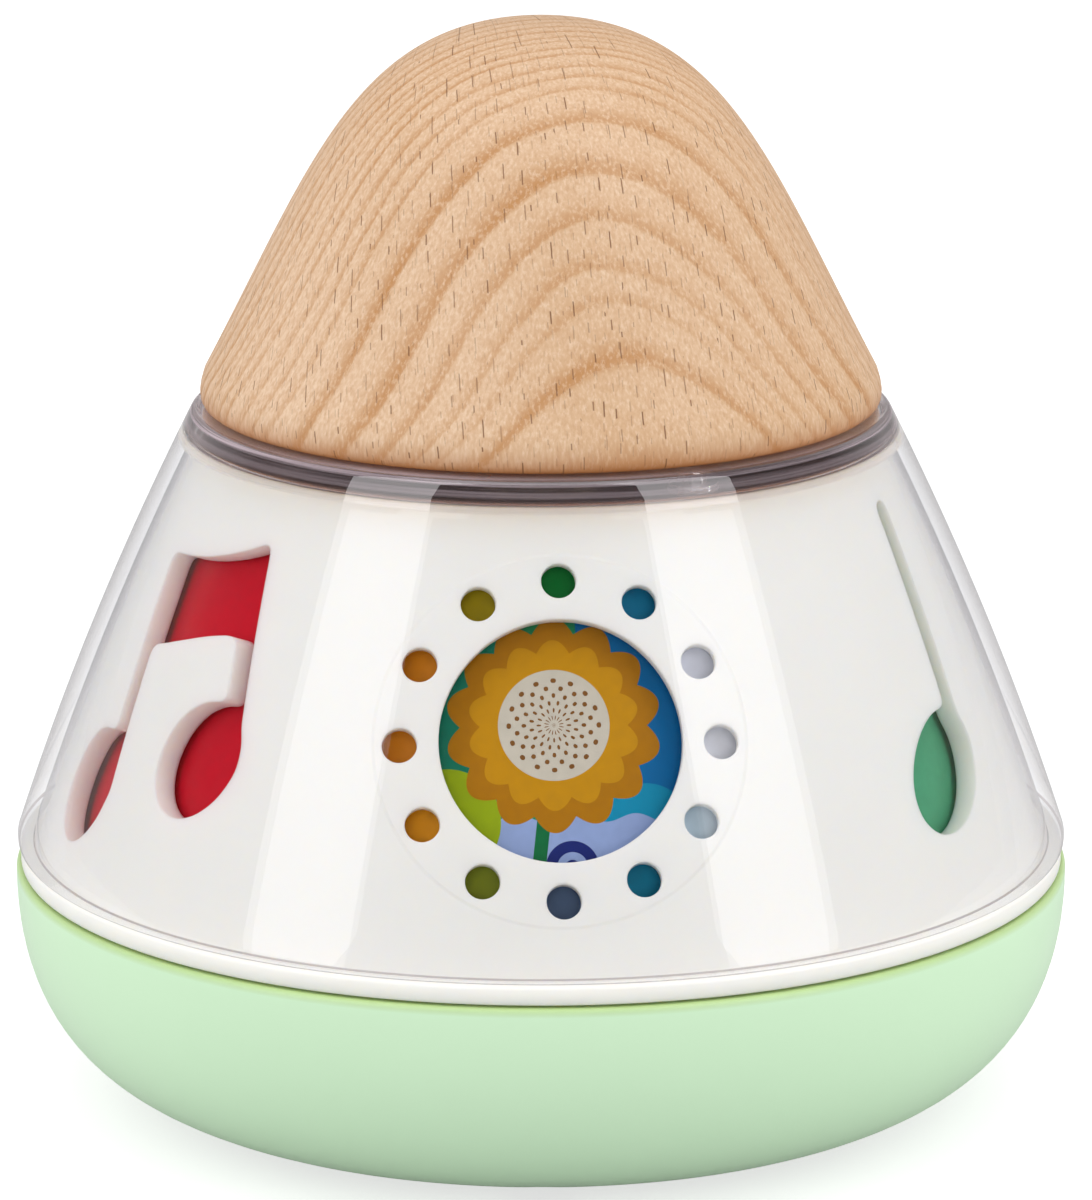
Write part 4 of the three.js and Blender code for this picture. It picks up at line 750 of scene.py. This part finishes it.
# Moulded plastic
FLOW_MARKS = (28, 3)
FLOW_TONE = 0.05
FLOW_SHADE = 0.82
GLOSS_PATCHES = (160, 2)
GLOSS_CHANGE = 0.05
SKIN = (1800, 1)
BEVEL_SAMPLES = 6

# Metal
BRUSHING = (900, 3)
BRUSHED_ACROSS = (1, 1, 30)
BRUSHED_ALONG = (30, 1, 1)
CAST = (1, 1, 1)
BRUSHED_GLOSS = (-0.08, 0.1)
STAINS = (90, 4)
STAIN_SPREAD = (0.35, 0.75)
STAIN_TONE = 0.5
STAIN_SHADE = 0.7

# White wall, which light enters, and the low pad round each window
WALL_COLOUR = linear(249, 243, 235)
WALL_BEVEL = 0.45 * MM
TRANSLUCENT = {"Subsurface_Weight": 0.65, "Subsurface_Radius": (1.0, 0.85, 0.65), "Subsurface_Scale": 5 * MM}
PAD_SLOPE = 0.5 * MM
PAD_HEIGHT = 0.12 * MM

# Mint bowl
MINT = linear(210, 242, 206)
# Painted shade: a deeper, yellower mint for the top of the rim, where it meets the flange
MINT_RIM_SHADE = linear(176, 204, 120)
MINT_BEVEL = 0.3 * MM
RIM_SHADE_DEPTH = 1.0 * MM
RIM_SHADE_TONE = 0.8


def moulded(name, colour, roughness, grain, edge=0.0, **constants):
    """Moulded plastic: faint flow marks in its colour, and a fine skin as deep as the grain in mm."""
    finish = Finish(name, **constants)
    tone = finish.mottle(FLOW_MARKS, 0.0, FLOW_TONE)
    finish.give("Base Color", finish.blend(tone, colour, darker(colour, FLOW_SHADE)))
    finish.give("Roughness", finish.mottle(GLOSS_PATCHES, roughness - GLOSS_CHANGE, roughness + GLOSS_CHANGE))
    soft = None
    if edge:
        soft = finish.node("ShaderNodeBevel", {"Radius": edge}, samples=BEVEL_SAMPLES).outputs["Normal"]
    finish.give("Normal", finish.bump(finish.noise(*SKIN), grain * MM, normal=soft))
    return finish


def metal(name, colour, roughness, scale=BRUSHED_ACROSS, grain=0.004):
    """Metal with brushing that a scale draws out one way, and faint stains."""
    finish = Finish(name, Metallic=1.0)
    lines = finish.noise(*BRUSHING, finish.stretched(scale))
    tone = finish.span(finish.noise(*STAINS), *STAIN_SPREAD, 0.0, STAIN_TONE)
    finish.give("Base Color", finish.blend(tone, colour, darker(colour, STAIN_SHADE)))
    smooth, dull = BRUSHED_GLOSS
    finish.give("Roughness", finish.span(lines, *NOISE_SPREAD, roughness + smooth, roughness + dull))
    finish.give("Normal", finish.bump(lines, grain * MM))
    return finish


def white_wall():
    """The white wall's plastic, with the low round pad that frames each window."""
    finish = moulded(
        "white_plastic", WALL_COLOUR, roughness=0.38, grain=0.008, edge=WALL_BEVEL, **TRANSLUCENT)
    pads = 0.0
    for azimuth in WINDOW_AZIMUTHS:
        away = finish.length(*tangent(finish, azimuth))
        pad = finish.span(away, PAD_RADIUS, PAD_RADIUS - PAD_SLOPE, smooth=True)
        pads = finish.plus(pads, finish.times(pad, in_front(finish, azimuth)))
    finish.give("Normal", finish.bump(pads, PAD_HEIGHT, normal=finish.given("Normal")))
    return finish


def mint_bowl():
    """The bowl's mint plastic, with painted shade: deeper and yellower on the top of the rim, where it meets
    the white flange.
    """
    finish = moulded("mint_plastic", MINT, roughness=0.36, grain=0.008, edge=MINT_BEVEL)
    # Painted shade laid on the rim's top edge
    rim = finish.span(finish.dot(UP), BOWL_HIGH.z - RIM_SHADE_DEPTH, BOWL_HIGH.z, 0.0, RIM_SHADE_TONE)
    finish.give("Base Color", finish.blend(rim, finish.given("Base Color"), MINT_RIM_SHADE))
    return finish


# Clear cover

# Its index, and its gloss, which grows from head-on to grazing
CLEAR_INDEX = 1.49
CLEAR_COLOUR = linear(246, 245, 248)
GLOSS_COLOUR = linear(246, 245, 247)
FACING_BLEND = 0.5
HEAD_ON_SHINE = 0.04
SHINE_POWER = 5.0
SMEARS = (60, 3)
SMEAR_SPREAD = (0.4, 0.8)
SMEAR_GLOSS = (0.01, 0.03)

# Its thin wall: a tint that deepens at grazing views, and a painted grey shade line round the foot, where it
# sits over the flange
PANE_COLOUR = linear(252, 252, 253)
PANE_EDGE = linear(230, 227, 225)
PANE_FOOT_SHADE = linear(206, 198, 200)
GRAZING = 0.75
FOOT_LINE = 0.28 * MM
FOOT_FADE = 0.1 * MM
FOOT_BENEATH = 0.03 * MM

# Its thick roof: painted highlight streaks, fine lines in a lavender-grey diffuse layer over the refracting
# body, dense or thin from the top (0) down to the fillet (1)
ROOF_GLOSS = 0.1
ROOF_FILLET = 0.7 * MM
ROOF_FADE = 0.3 * MM
ROOF_SHADOW = linear(238, 229, 217)
PAINTED_STREAK_COLOUR = linear(206, 188, 196)
PAINTED_STREAK_LEVELS = [
    (0.0, 0.35), (0.03, 0.15), (0.06, 0.55), (0.15, 0.5), (0.2, 0.08), (0.36, 0.16), (0.5, 0.14),
    (0.56, 0.03), (0.68, 0.12), (0.74, 0.02), (0.92, 0.12), (1.0, 0.25),
]
LINES = (2600, 4)
LINES_STRETCH = (0.004, 0.004, 1)
LINES_ROUGHNESS = 0.7
LINES_SPREAD = (0.42, 0.62)
LINES_TONE = (0.25, 1.6)


def clear_plastic():
    """Polished clear plastic: a wall that light passes straight, and a roof that bends it, under painted
    highlight streaks.
    """
    finish = Finish("clear_plastic", Transmission_Weight=1.0, IOR=CLEAR_INDEX, Base_Color=CLEAR_COLOUR)
    smear = finish.span(finish.noise(*SMEARS), *SMEAR_SPREAD, *SMEAR_GLOSS)
    finish.give("Roughness", smear)
    gloss = finish.node("ShaderNodeBsdfGlossy", {"Color": GLOSS_COLOUR, "Roughness": smear}).outputs[0]
    level = finish.dot(UP)

    facing = finish.node("ShaderNodeLayerWeight", {"Blend": FACING_BLEND}).outputs["Facing"]
    shine = finish.maths("POWER", facing, SHINE_POWER)
    shine = finish.maths("MULTIPLY_ADD", shine, 1 - HEAD_ON_SHINE, HEAD_ON_SHINE)
    # Painted shade: a thin grey line round the cover's foot
    foot = finish.span(level, COVER_LOW.z + FOOT_LINE, COVER_LOW.z + FOOT_LINE - FOOT_FADE)
    foot = finish.times(foot, finish.over(level, COVER_LOW.z + FOOT_BENEATH))
    tint = finish.blend(finish.span(facing, GRAZING, 1.0), PANE_COLOUR, PANE_EDGE)
    tint = finish.blend(foot, tint, PANE_FOOT_SHADE)
    pane = finish.node("ShaderNodeBsdfTransparent", {"Color": tint}).outputs[0]
    wall = finish.mix(shine, pane, gloss)

    fillet = COVER_HIGH.z - COVER_ROOF - ROOF_FILLET
    # Painted highlight: lavender-grey streaks laid over the roof's refraction
    painted_streaks = finish.ramp(finish.span(level, COVER_HIGH.z, fillet), [(at, grey(v)) for at, v in PAINTED_STREAK_LEVELS])
    lines = finish.noise(*LINES, finish.stretched(LINES_STRETCH), LINES_ROUGHNESS)
    painted_streaks = finish.times(painted_streaks, finish.span(lines, *LINES_SPREAD, *LINES_TONE))
    streak_shader = finish.node("ShaderNodeBsdfDiffuse", {"Color": PAINTED_STREAK_COLOUR}).outputs[0]
    roof = finish.mix(painted_streaks, finish.shader.outputs[0], streak_shader)
    roof = finish.mix(ROOF_GLOSS, roof, gloss)

    thick = finish.span(level, fillet, fillet + ROOF_FADE)
    dim = finish.blend(thick, WHITE, ROOF_SHADOW)
    open_way = finish.node("ShaderNodeBsdfTransparent", {"Color": dim}).outputs[0]
    rays = finish.node("ShaderNodeLightPath").outputs
    passing = finish.maths("MAXIMUM", rays["Is Shadow Ray"], rays["Is Diffuse Ray"])
    surface = finish.mix(passing, finish.mix(thick, wall, roof), open_way)
    finish.feed(finish.output.inputs["Surface"], surface)
    return finish


# Beech

# Growth rings: each one's distance in mm from the pith, and how dark its late wood is
RINGS = [
    (0, 0.4), (8, 0.5), (13, 0.4), (17, 0.6), (20.5, 0.4), (24, 0.5), (27, 0.6), (30, 0.5), (33, 0.6),
    (35.5, 0.7), (38, 0.5), (40.2, 0.6), (42.4, 0.75), (44.4, 0.55), (46.3, 0.7), (48, 0.8), (49.6, 0.65),
    (50.5, 0.6), (52, 0.7), (53.1, 0.8), (54.9, 0.65), (56.1, 0.7), (57.3, 0.6), (59.5, 0.95),
    (61.75, 0.9), (63.0, 0.7), (63.95, 0.55), (64.5, 0.45), (65.4, 0.8), (67.5, 0.6), (70, 0.6),
]
RING_REACH = RINGS[-1][0] * MM

# The pith: its place and lean in X and Y, at a level
PITH = (-0.0077, 0.0318)
PITH_LEAN = (-0.069, 0.367)
PITH_LEVEL = 0.11

# How dark the wood is through one ring, and what pulls the rings out of true: scale, stretch, reach
LATE_WOOD = [(0.0, 0.55), (0.06, 0.08), (0.35, 0.04), (0.62, 0.26), (0.8, 0.72), (0.92, 1), (1.0, 0.8)]
GRAIN_PULLS = [(32, 0.6, 0.8 * MM), (1500, 0.12, 0.05 * MM)]
PULL_DETAIL = 2.0

# Rounded lower edge: how high it reaches, which is also how high the painted shade there reaches, and how far
# it would shift the rings
LOW_EDGE = 3.87 * MM
LOW_LEAN = 0.73 * MM

# Ray flecks: spacing, rows, half height, half width and tone
FLECKS = [
    (2.2 * MM, 3.6 * MM, 0.85 * MM, 0.05 * MM, 0.9),
    (1.3 * MM, 2.4 * MM, 0.5 * MM, 0.04 * MM, 0.4),
]
FLECK_HEIGHTS = (0.35, 1.25)
FLECK_FAINTEST = 0.15
FLECK_END = 0.8
RAY_CIRCLE = 60 * MM
RAY_DEPTH = 7 * MM

# Noises of the wood: scale, detail, the share of the scale that runs up the trunk, and roughness
BROAD = (40, 3, 0.35, 0.5)
FIBRE = (2400, 2, 0.12, 0.5)
SPECK = (2600, 3, 0.25, 0.6)

# Colours, and the ranges of a noise and of a tone that bring each in
PALE_WOOD = linear(227, 196, 166)
OCHRE_WOOD = linear(208, 171, 133)
OCHRE_REACH = 30 * MM
LATE_COLOUR = linear(184, 127, 68)
MIDDLE_SPREAD = (0.35, 0.65)
LATE_BY_SPECK = (0.88, 1.12)
LATE_BY_BROAD = (0.6, 1.1)
GRAIN_LAYERS = [
    ("fibre", (0.45, 0.75), 0.45, linear(190, 144, 106)),
    ("speck", (0.5, 0.75), 0.4, linear(196, 150, 110)),
    ("speck", (0.5, 0.25), 0.4, linear(244, 222, 198)),
]
# Painted shade: a warm brown that darkens the dome's rounded lower edge
PAINTED_LOW_SHADE = linear(176, 110, 58)
FLECK_COLOUR = linear(122, 80, 48)
WOOD_GLOSS = (0.5, 0.65)
FIBRE_RELIEF = 0.3
WOOD_RELIEF = 0.04 * MM
WOOD_RELIEF_STRENGTH = 0.7


def flecks(finish, around, away, level, spacing, rows, half_height, half_width, tone):
    """Short dark dashes along the grain, one at a random place in each cell."""
    cell = finish.node("ShaderNodeCombineXYZ", {
        0: finish.maths("DIVIDE", around, spacing),
        1: finish.maths("DIVIDE", away, RAY_DEPTH),
        2: finish.maths("DIVIDE", level, rows),
    }).outputs[0]
    dots = finish.node("ShaderNodeTexVoronoi", {"Vector": cell, "Scale": 1.0, "Randomness": 1.0}).outputs
    off = finish.split(finish.vector("ABSOLUTE", finish.vector("SUBTRACT", cell, dots["Position"])))
    luck = finish.split(dots["Color"])
    tall = finish.times(finish.span(luck[0], 0.0, 1.0, *FLECK_HEIGHTS), half_height / rows)
    across = finish.span(off[0], half_width / spacing, 2 * half_width / spacing, 1.0, 0.0)
    upright = finish.span(finish.maths("DIVIDE", off[2], tall), FLECK_END, 1.0, 1.0, 0.0)
    depth = finish.span(luck[1], 0.0, 1.0, FLECK_FAINTEST * tone, tone)
    return finish.times(finish.times(across, upright), depth)


def pulled(finish):
    """The places, with the grain's slow and fine wander in them."""
    place = finish.place
    for scale, stretch, pull in GRAIN_PULLS:
        feeds = {"Vector": finish.stretched((1, 1, stretch)), "Scale": scale, "Detail": PULL_DETAIL}
        sway = finish.node("ShaderNodeTexNoise", feeds).outputs["Color"]
        sway = finish.vector("MULTIPLY_ADD", sway, (2 * pull, 2 * pull, 0.0), (-pull, -pull, 0.0))
        place = finish.vector("ADD", place, sway)
    return finish.split(place)


def late_wood(finish, away):
    """How dark the late wood is at a distance from the pith."""
    share = finish.maths("DIVIDE", away, RING_REACH)
    count = len(RINGS)
    places = [at * MM / RING_REACH for at, _ in RINGS]
    strengths = [strength for _, strength in RINGS[1:] + RINGS[-1:]]
    age = finish.ramp(share, [(place, grey(i / count)) for i, place in enumerate(places)])
    phase = finish.maths("FRACT", finish.times(age, float(count)))
    dark = finish.ramp(share, list(zip(places, map(grey, strengths))), constant=True)
    return finish.times(finish.ramp(phase, [(at, grey(v)) for at, v in LATE_WOOD]), dark)


def beech():
    """Turned beech: rings about a leaning pith behind the dome, and its short dark ray flecks."""
    finish = Finish("beech", Specular_IOR_Level=0.35)
    across, back, level = pulled(finish)
    rise = finish.minus(level, PITH_LEVEL)
    x = finish.minus(across, finish.maths("MULTIPLY_ADD", rise, PITH_LEAN[0], PITH[0]))
    y = finish.minus(back, finish.maths("MULTIPLY_ADD", rise, PITH_LEAN[1], PITH[1]))

    low = finish.span(level, DOME_LOW.z + LOW_EDGE, DOME_LOW.z)
    turned = finish.minus(1.0, finish.maths("SQRT", finish.minus(1.0, low)))
    turned = finish.times(finish.times(turned, turned), DOME_ROUND)
    away = finish.plus(finish.length(x, y), finish.maths("MULTIPLY_ADD", low, LOW_LEAN, turned))

    around = finish.times(finish.maths("ARCTAN2", x, finish.times(y, -1.0)), RAY_CIRCLE)
    spots = [flecks(finish, around, away, level, *sizes) for sizes in FLECKS]
    broad, fibre, speck = [
        finish.noise(scale, detail, finish.stretched((1, 1, stretch)), roughness)
        for scale, detail, stretch, roughness in (BROAD, FIBRE, SPECK)
    ]

    sideways = finish.span(finish.dot(RIGHT), -OCHRE_REACH, OCHRE_REACH)
    ochre = finish.times(finish.plus(sideways, finish.span(broad, *NOISE_SPREAD)), 0.5)
    colour = finish.blend(ochre, PALE_WOOD, OCHRE_WOOD)
    late = finish.times(late_wood(finish, away), finish.span(speck, *MIDDLE_SPREAD, *LATE_BY_SPECK))
    late = finish.times(late, finish.span(broad, *MIDDLE_SPREAD, *LATE_BY_BROAD))
    colour = finish.blend(late, colour, LATE_COLOUR)
    noises = {"fibre": fibre, "speck": speck}
    for name, spread, tone, shade in GRAIN_LAYERS:
        colour = finish.blend(finish.span(noises[name], *spread, 0.0, tone), colour, shade)
    # Painted shade darkens the lowest few mm of the dome towards its edge
    colour = finish.blend(finish.times(low, low), colour, PAINTED_LOW_SHADE)
    for spot in spots:
        colour = finish.blend(spot, colour, FLECK_COLOUR)
    finish.give("Base Color", colour)
    finish.give("Roughness", finish.span(fibre, *NOISE_SPREAD, *WOOD_GLOSS))
    relief = finish.minus(finish.times(fibre, FIBRE_RELIEF), spots[0])
    finish.give("Normal", finish.bump(relief, WOOD_RELIEF, WOOD_RELIEF_STRENGTH))
    return finish


# Print of the drum: for each window a round picture in a ring of colours, on broad bands; three of the ring's
# colours are pale blue print lightened into a painted highlight

# The third to fifth colours are pale blue print lightened to near white, a painted highlight of the lamp
# stripe over those dots
RING_PRINT_AND_HIGHLIGHT = [
    (6, 130, 54), (14, 128, 172), (226, 233, 252), (231, 237, 252), (208, 233, 252), (10, 132, 168),
    (86, 108, 142), (136, 148, 34), (238, 162, 26), (226, 140, 26), (224, 140, 18), (172, 152, 8),
]

# Bands: the azimuth in degrees where each begins, and how its border sways with the level
BANDS = [
    (-180, (90, 70, 140)), (-152, (232, 170, 30)), (-88, (198, 16, 38)), (-24, (214, 120, 40)),
    (28, (82, 160, 120)), (86, (60, 140, 190)), (152, (90, 70, 140)),
]
SWAY_COUNT = 260.0
SWAY_REACH = 0.05

# Ink and film
INK = (900, 2)
INK_TONE = 0.08
INK_COLOUR = grey(0.02)
FILM_PATCHES = (120, 2)
FILM_GLOSS = (0.28, 0.4)
FILM_SKIN = (1400, 1)
FILM_RELIEF = 0.006 * MM

# The picture, in mm from the window's middle: sky, hills and water, a stone of three rings, a flower
RING_RADIUS = 23.0
PICTURE_RADIUS = 16.4
SKY_SIDES = (-14.0, 15.0)
SKY = [(0.0, (20, 120, 96)), (0.34, (30, 132, 84)), (0.55, (0, 100, 158)), (1.0, (0, 84, 142))]
FAR_HILL = (10.0, -10.0, 5.4)
FAR_HILL_COLOUR = linear(12, 136, 172)
NEAR_HILL = (-13.4, -9.0, 6.4)
NEAR_HILL_COLOUR = linear(146, 168, 16)
WATER_LEVEL = -8.6
WATER_COLOUR = linear(142, 162, 206)
WAVE_COUNT = 0.9
WAVE_HEIGHT = 0.5
STONE = (1.2, -14.4)
STONE_RINGS = [(3.1, linear(30, 42, 112)), (1.8, WATER_COLOUR), (0.9, linear(30, 42, 112))]
FLOWER = (-0.7, 2.2)
STALK_LEAN = 0.12
STALK_HALF_WIDTH = 0.8
STALK_COLOUR = linear(20, 110, 62)
PETAL_PAIRS = 7.0
PETALS = [(10.9, 1.7, linear(172, 114, 8)), (8.6, 1.4, linear(194, 138, 14))]
HEART_RADIUS = 6.5
HEART_COLOUR = linear(200, 192, 176)
SEED_RINGS = 3.6
SEED_SPOKES = 16.0
SEED_GAP = 0.55
SEED_REACH = 5.7
SEED_COLOUR = linear(128, 84, 40)


def flower(finish, scene, dx, dy):
    """A flower on a stalk, laid over a scene round the place that dx and dy are measured from."""
    away = finish.length(dx, dy)
    turn = finish.maths("ARCTAN2", dy, dx)
    off_stalk = finish.maths("ABSOLUTE", finish.minus(dx, finish.times(dy, STALK_LEAN)))
    stalk = finish.times(finish.under(off_stalk, STALK_HALF_WIDTH), finish.under(dy, 0.0))
    scene = finish.blend(stalk, scene, STALK_COLOUR)
    swing = finish.maths("ABSOLUTE", finish.maths("SINE", finish.times(turn, PETAL_PAIRS)))
    for reach, swell, colour in PETALS:
        edge = finish.plus(finish.times(swing, swell), reach)
        scene = finish.blend(finish.under(away, edge), scene, colour)
    scene = finish.blend(finish.under(away, HEART_RADIUS), scene, HEART_COLOUR)
    rings = finish.maths("COSINE", finish.times(away, SEED_RINGS))
    spokes = finish.maths("COSINE", finish.times(turn, SEED_SPOKES))
    seeds = finish.over(finish.times(rings, spokes), SEED_GAP)
    return finish.blend(finish.times(seeds, finish.under(away, SEED_REACH)), scene, SEED_COLOUR)


def picture(finish, azimuth, base):
    """One window's picture: a flower over hills and water, inside a ring of colours, three of them partly
    painted highlight.
    """
    x, y = [finish.times(way, 1 / MM) for way in tangent(finish, azimuth)]
    here = in_front(finish, azimuth)

    def off(cx, cy):
        return finish.minus(x, cx), finish.minus(y, cy)

    def within(cx, cy, radius):
        return finish.under(finish.length(*off(cx, cy)), radius)

    turn = finish.maths("DIVIDE", finish.maths("ARCTAN2", x, y), TAU)
    turn = finish.maths("FRACT", finish.plus(turn, 1 + 0.5 / DOT_COUNT))
    # Ring colours: print, three of them lightened as painted highlight
    stops = [(i / DOT_COUNT, linear(*colour)) for i, colour in enumerate(RING_PRINT_AND_HIGHLIGHT)]
    ring = finish.times(within(0.0, 0.0, RING_RADIUS), here)
    colour = finish.blend(ring, base, finish.ramp(turn, stops, constant=True))

    sky = [(at, linear(*tone)) for at, tone in SKY]
    scene = finish.ramp(finish.span(x, *SKY_SIDES), sky, constant=True)
    scene = finish.blend(within(*FAR_HILL), scene, FAR_HILL_COLOUR)
    wave = finish.maths("SINE", finish.times(x, WAVE_COUNT))
    water = finish.under(y, finish.maths("MULTIPLY_ADD", wave, WAVE_HEIGHT, WATER_LEVEL))
    scene = finish.blend(water, scene, WATER_COLOUR)
    scene = finish.blend(within(*NEAR_HILL), scene, NEAR_HILL_COLOUR)
    for radius, tone in STONE_RINGS:
        scene = finish.blend(within(*STONE, radius), scene, tone)
    scene = flower(finish, scene, *off(*FLOWER))
    return finish.blend(finish.times(within(0.0, 0.0, PICTURE_RADIUS), here), colour, scene)


def printed_drum():
    """The drum's printed film: bands of colour round it, and a picture behind each window."""
    finish = Finish("drum_print", Specular_IOR_Level=0.15)
    across, back, level = finish.split(finish.place)
    azimuth = finish.maths("ARCTAN2", across, finish.times(back, -1.0))
    sway = finish.times(finish.maths("SINE", finish.times(level, SWAY_COUNT)), SWAY_REACH)
    turn = finish.span(finish.plus(azimuth, sway), -math.pi, math.pi)
    stops = [((degrees + 180) / 360, linear(*colour)) for degrees, colour in BANDS]
    colour = finish.ramp(turn, stops, constant=True)
    for window in WINDOW_AZIMUTHS:
        colour = picture(finish, window, colour)
    finish.give("Base Color", finish.blend(finish.mottle(INK, 0.0, INK_TONE), colour, INK_COLOUR))
    finish.give("Roughness", finish.mottle(FILM_PATCHES, *FILM_GLOSS))
    finish.give("Normal", finish.bump(finish.noise(*FILM_SKIN), FILM_RELIEF))
    return finish


# Dressing

SLOT_FINISHES = {
    "mint_plastic": mint_bowl(),
    "grey_plastic": moulded("grey_plastic", linear(185, 185, 180), roughness=0.5, grain=0.02),
    "acetal": moulded("acetal", linear(240, 237, 228), roughness=0.35, grain=0.01),
    "white_plastic": white_wall(),
    "clear_plastic": clear_plastic(),
    "printed_film": printed_drum(),
    "beech": beech(),
    "steel": metal("steel", linear(196, 198, 202), roughness=0.28),
    "die_cast_zinc": metal("die_cast_zinc", linear(160, 162, 165), roughness=0.5, scale=CAST, grain=0.02),
    "brass": metal("brass", linear(214, 174, 92), roughness=0.28, scale=BRUSHED_ALONG),
}


def dress(piece, node, body, slot):
    """A smooth piece with its finish, in the place of its CAD node."""
    SLOT_FINISHES[slot].paint(piece)
    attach(piece, body)
    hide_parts(node)


for row in frame["record"]["subparts"]:
    SLOT_FINISHES[row["material_slot"]].paint(frame["nodes"][row["node"]])

dress(make_bowl(), "base_bowl", "housing", "mint_plastic")
dress(make_window_shell(), "window_shell", "housing", "white_plastic")
dress(make_cover(), "clear_shell", "housing", "clear_plastic")
dress(make_dome(), "wooden_dome", "winder", "beech")
dress(make_drum(), "picture_drum", "winder", "printed_film")


# Stage

FLOOR_HALF = 6.0
FLOOR_DROP = 0.2 * MM
FLOOR_COLOUR = linear(190, 190, 190)
FLOOR_SHADE = linear(185, 185, 185)
FLOOR_PATCHES = (3, 2)
FLOOR_TONE = 0.02
FLOOR_ROUGHNESS = 0.9
FLOOR_GLOW = 0.66
FLOOR_GLOSS_GLOW = 0.15

# The world as light, and as gloss and glass see it: the way towards the back (0 to 1), and brightness
WORLD_LIGHT = 0.69
GLOSS_LEVELS = [(0.3, 0.02), (0.8, 0.6), (0.93, 0.45), (1.0, 0.3)]

# Lamps: azimuth and elevation in degrees, distance, width, height, watts, and whether gloss shows them
LAMP_TARGET = Vector((0, 0, 0.06))
LAMPS = {
    "left_softbox": (-53.5, 32, 1.2, 0.53, 1.55, 4.25, True),
    "right_softbox": (52.5, 32, 1.2, 0.57, 1.55, 4.55, True),
    "front_softbox": (0, 8, 1.3, 1.0, 0.4, 1.0, False),
    "left_side_softbox": (-100, 1, 1.3, 0.8, 0.12, 3.4, False),
    "right_side_softbox": (100, 1, 1.3, 0.8, 0.12, 3.3, False),
    "top_softbox": (0, 86, 1.3, 1.0, 1.0, 3.4, True),
}

# Camera at the photograph's place
CAMERA_PLACE = Vector((0, -0.7664, 0.2555))
CAMERA_TARGET = Vector((0, 0, 0.0613))
CAMERA_LENS = 192.1
CAMERA_SENSOR = 36
CAMERA_SHIFT = 0.0042


def make_floor():
    """A pale floor that keeps the shadow: white to the camera, and dimmer in gloss and glass."""
    half = FLOOR_HALF
    corners = [(-half, -half, 0), (half, -half, 0), (half, half, 0), (-half, half, 0)]
    data = bpy.data.meshes.new("floor")
    data.from_pydata(corners, [], [(0, 1, 2, 3)])
    floor = new_object("floor", data)
    floor.location.z = -FLOOR_DROP
    finish = Finish("floor", Roughness=FLOOR_ROUGHNESS, Emission_Color=WHITE)
    rays = finish.node("ShaderNodeLightPath").outputs
    mirrored = finish.maths("MAXIMUM", rays["Is Glossy Ray"], rays["Is Transmission Ray"])
    glow = finish.times(mirrored, FLOOR_GLOSS_GLOW)
    glow = finish.maths("MULTIPLY_ADD", rays["Is Camera Ray"], FLOOR_GLOW, glow)
    finish.give("Emission Strength", glow)
    tone = finish.mottle(FLOOR_PATCHES, 0.0, FLOOR_TONE)
    finish.give("Base Color", finish.blend(tone, FLOOR_COLOUR, FLOOR_SHADE))
    finish.paint(floor)


def make_world():
    """White to the camera, plain for lighting, and in gloss and glass dim in front and pale behind."""
    world = bpy.data.worlds.new("studio")
    bpy.context.scene.world = world
    world.use_nodes = True
    world.node_tree.nodes.clear()
    tree = Tree(world.node_tree)
    rays = tree.node("ShaderNodeLightPath").outputs
    way = tree.split(tree.node("ShaderNodeTexCoord").outputs["Generated"])
    mirrored = tree.maths("MAXIMUM", rays["Is Glossy Ray"], rays["Is Transmission Ray"])
    gloss = tree.ramp(way[1], [(y, grey(level)) for y, level in GLOSS_LEVELS])
    level = tree.blend(mirrored, grey(WORLD_LIGHT), gloss)
    level = tree.blend(rays["Is Camera Ray"], level, WHITE)
    background = tree.node("ShaderNodeBackground", {"Color": level})
    tree.node("ShaderNodeOutputWorld", {"Surface": background.outputs[0]})


def looking(name, data, place, way):
    """A lamp or camera at a place, whose back is towards a direction."""
    holder = bpy.data.objects.new(name, data)
    holder.location = place
    holder.rotation_mode = "QUATERNION"
    holder.rotation_quaternion = way.to_track_quat("Z", "Y")
    bpy.context.scene.collection.objects.link(holder)
    return holder


def make_lamp(name, azimuth, elevation, distance, width, height, watts, reflected):
    """A rectangular lamp that faces the target."""
    lamp = bpy.data.lights.new(name, "AREA")
    lamp.shape = "RECTANGLE"
    lamp.size, lamp.size_y = width, height
    lamp.energy = watts
    rise = math.radians(elevation)
    way = Vector(outward_of(math.radians(azimuth))) * math.cos(rise)
    way.z = math.sin(rise)
    holder = looking(name, lamp, LAMP_TARGET + way * distance, way)
    holder.visible_glossy = reflected


def make_camera():
    camera = bpy.data.cameras.new("camera")
    camera.lens = CAMERA_LENS
    camera.sensor_width = CAMERA_SENSOR
    camera.sensor_fit = "AUTO"
    camera.shift_x = CAMERA_SHIFT
    holder = looking("camera", camera, CAMERA_PLACE, CAMERA_PLACE - CAMERA_TARGET)
    bpy.context.scene.camera = holder
    bpy.context.scene.view_settings.view_transform = "Standard"


make_floor()
make_world()
for lamp_name, settings in LAMPS.items():
    make_lamp(lamp_name, *settings)
make_camera()
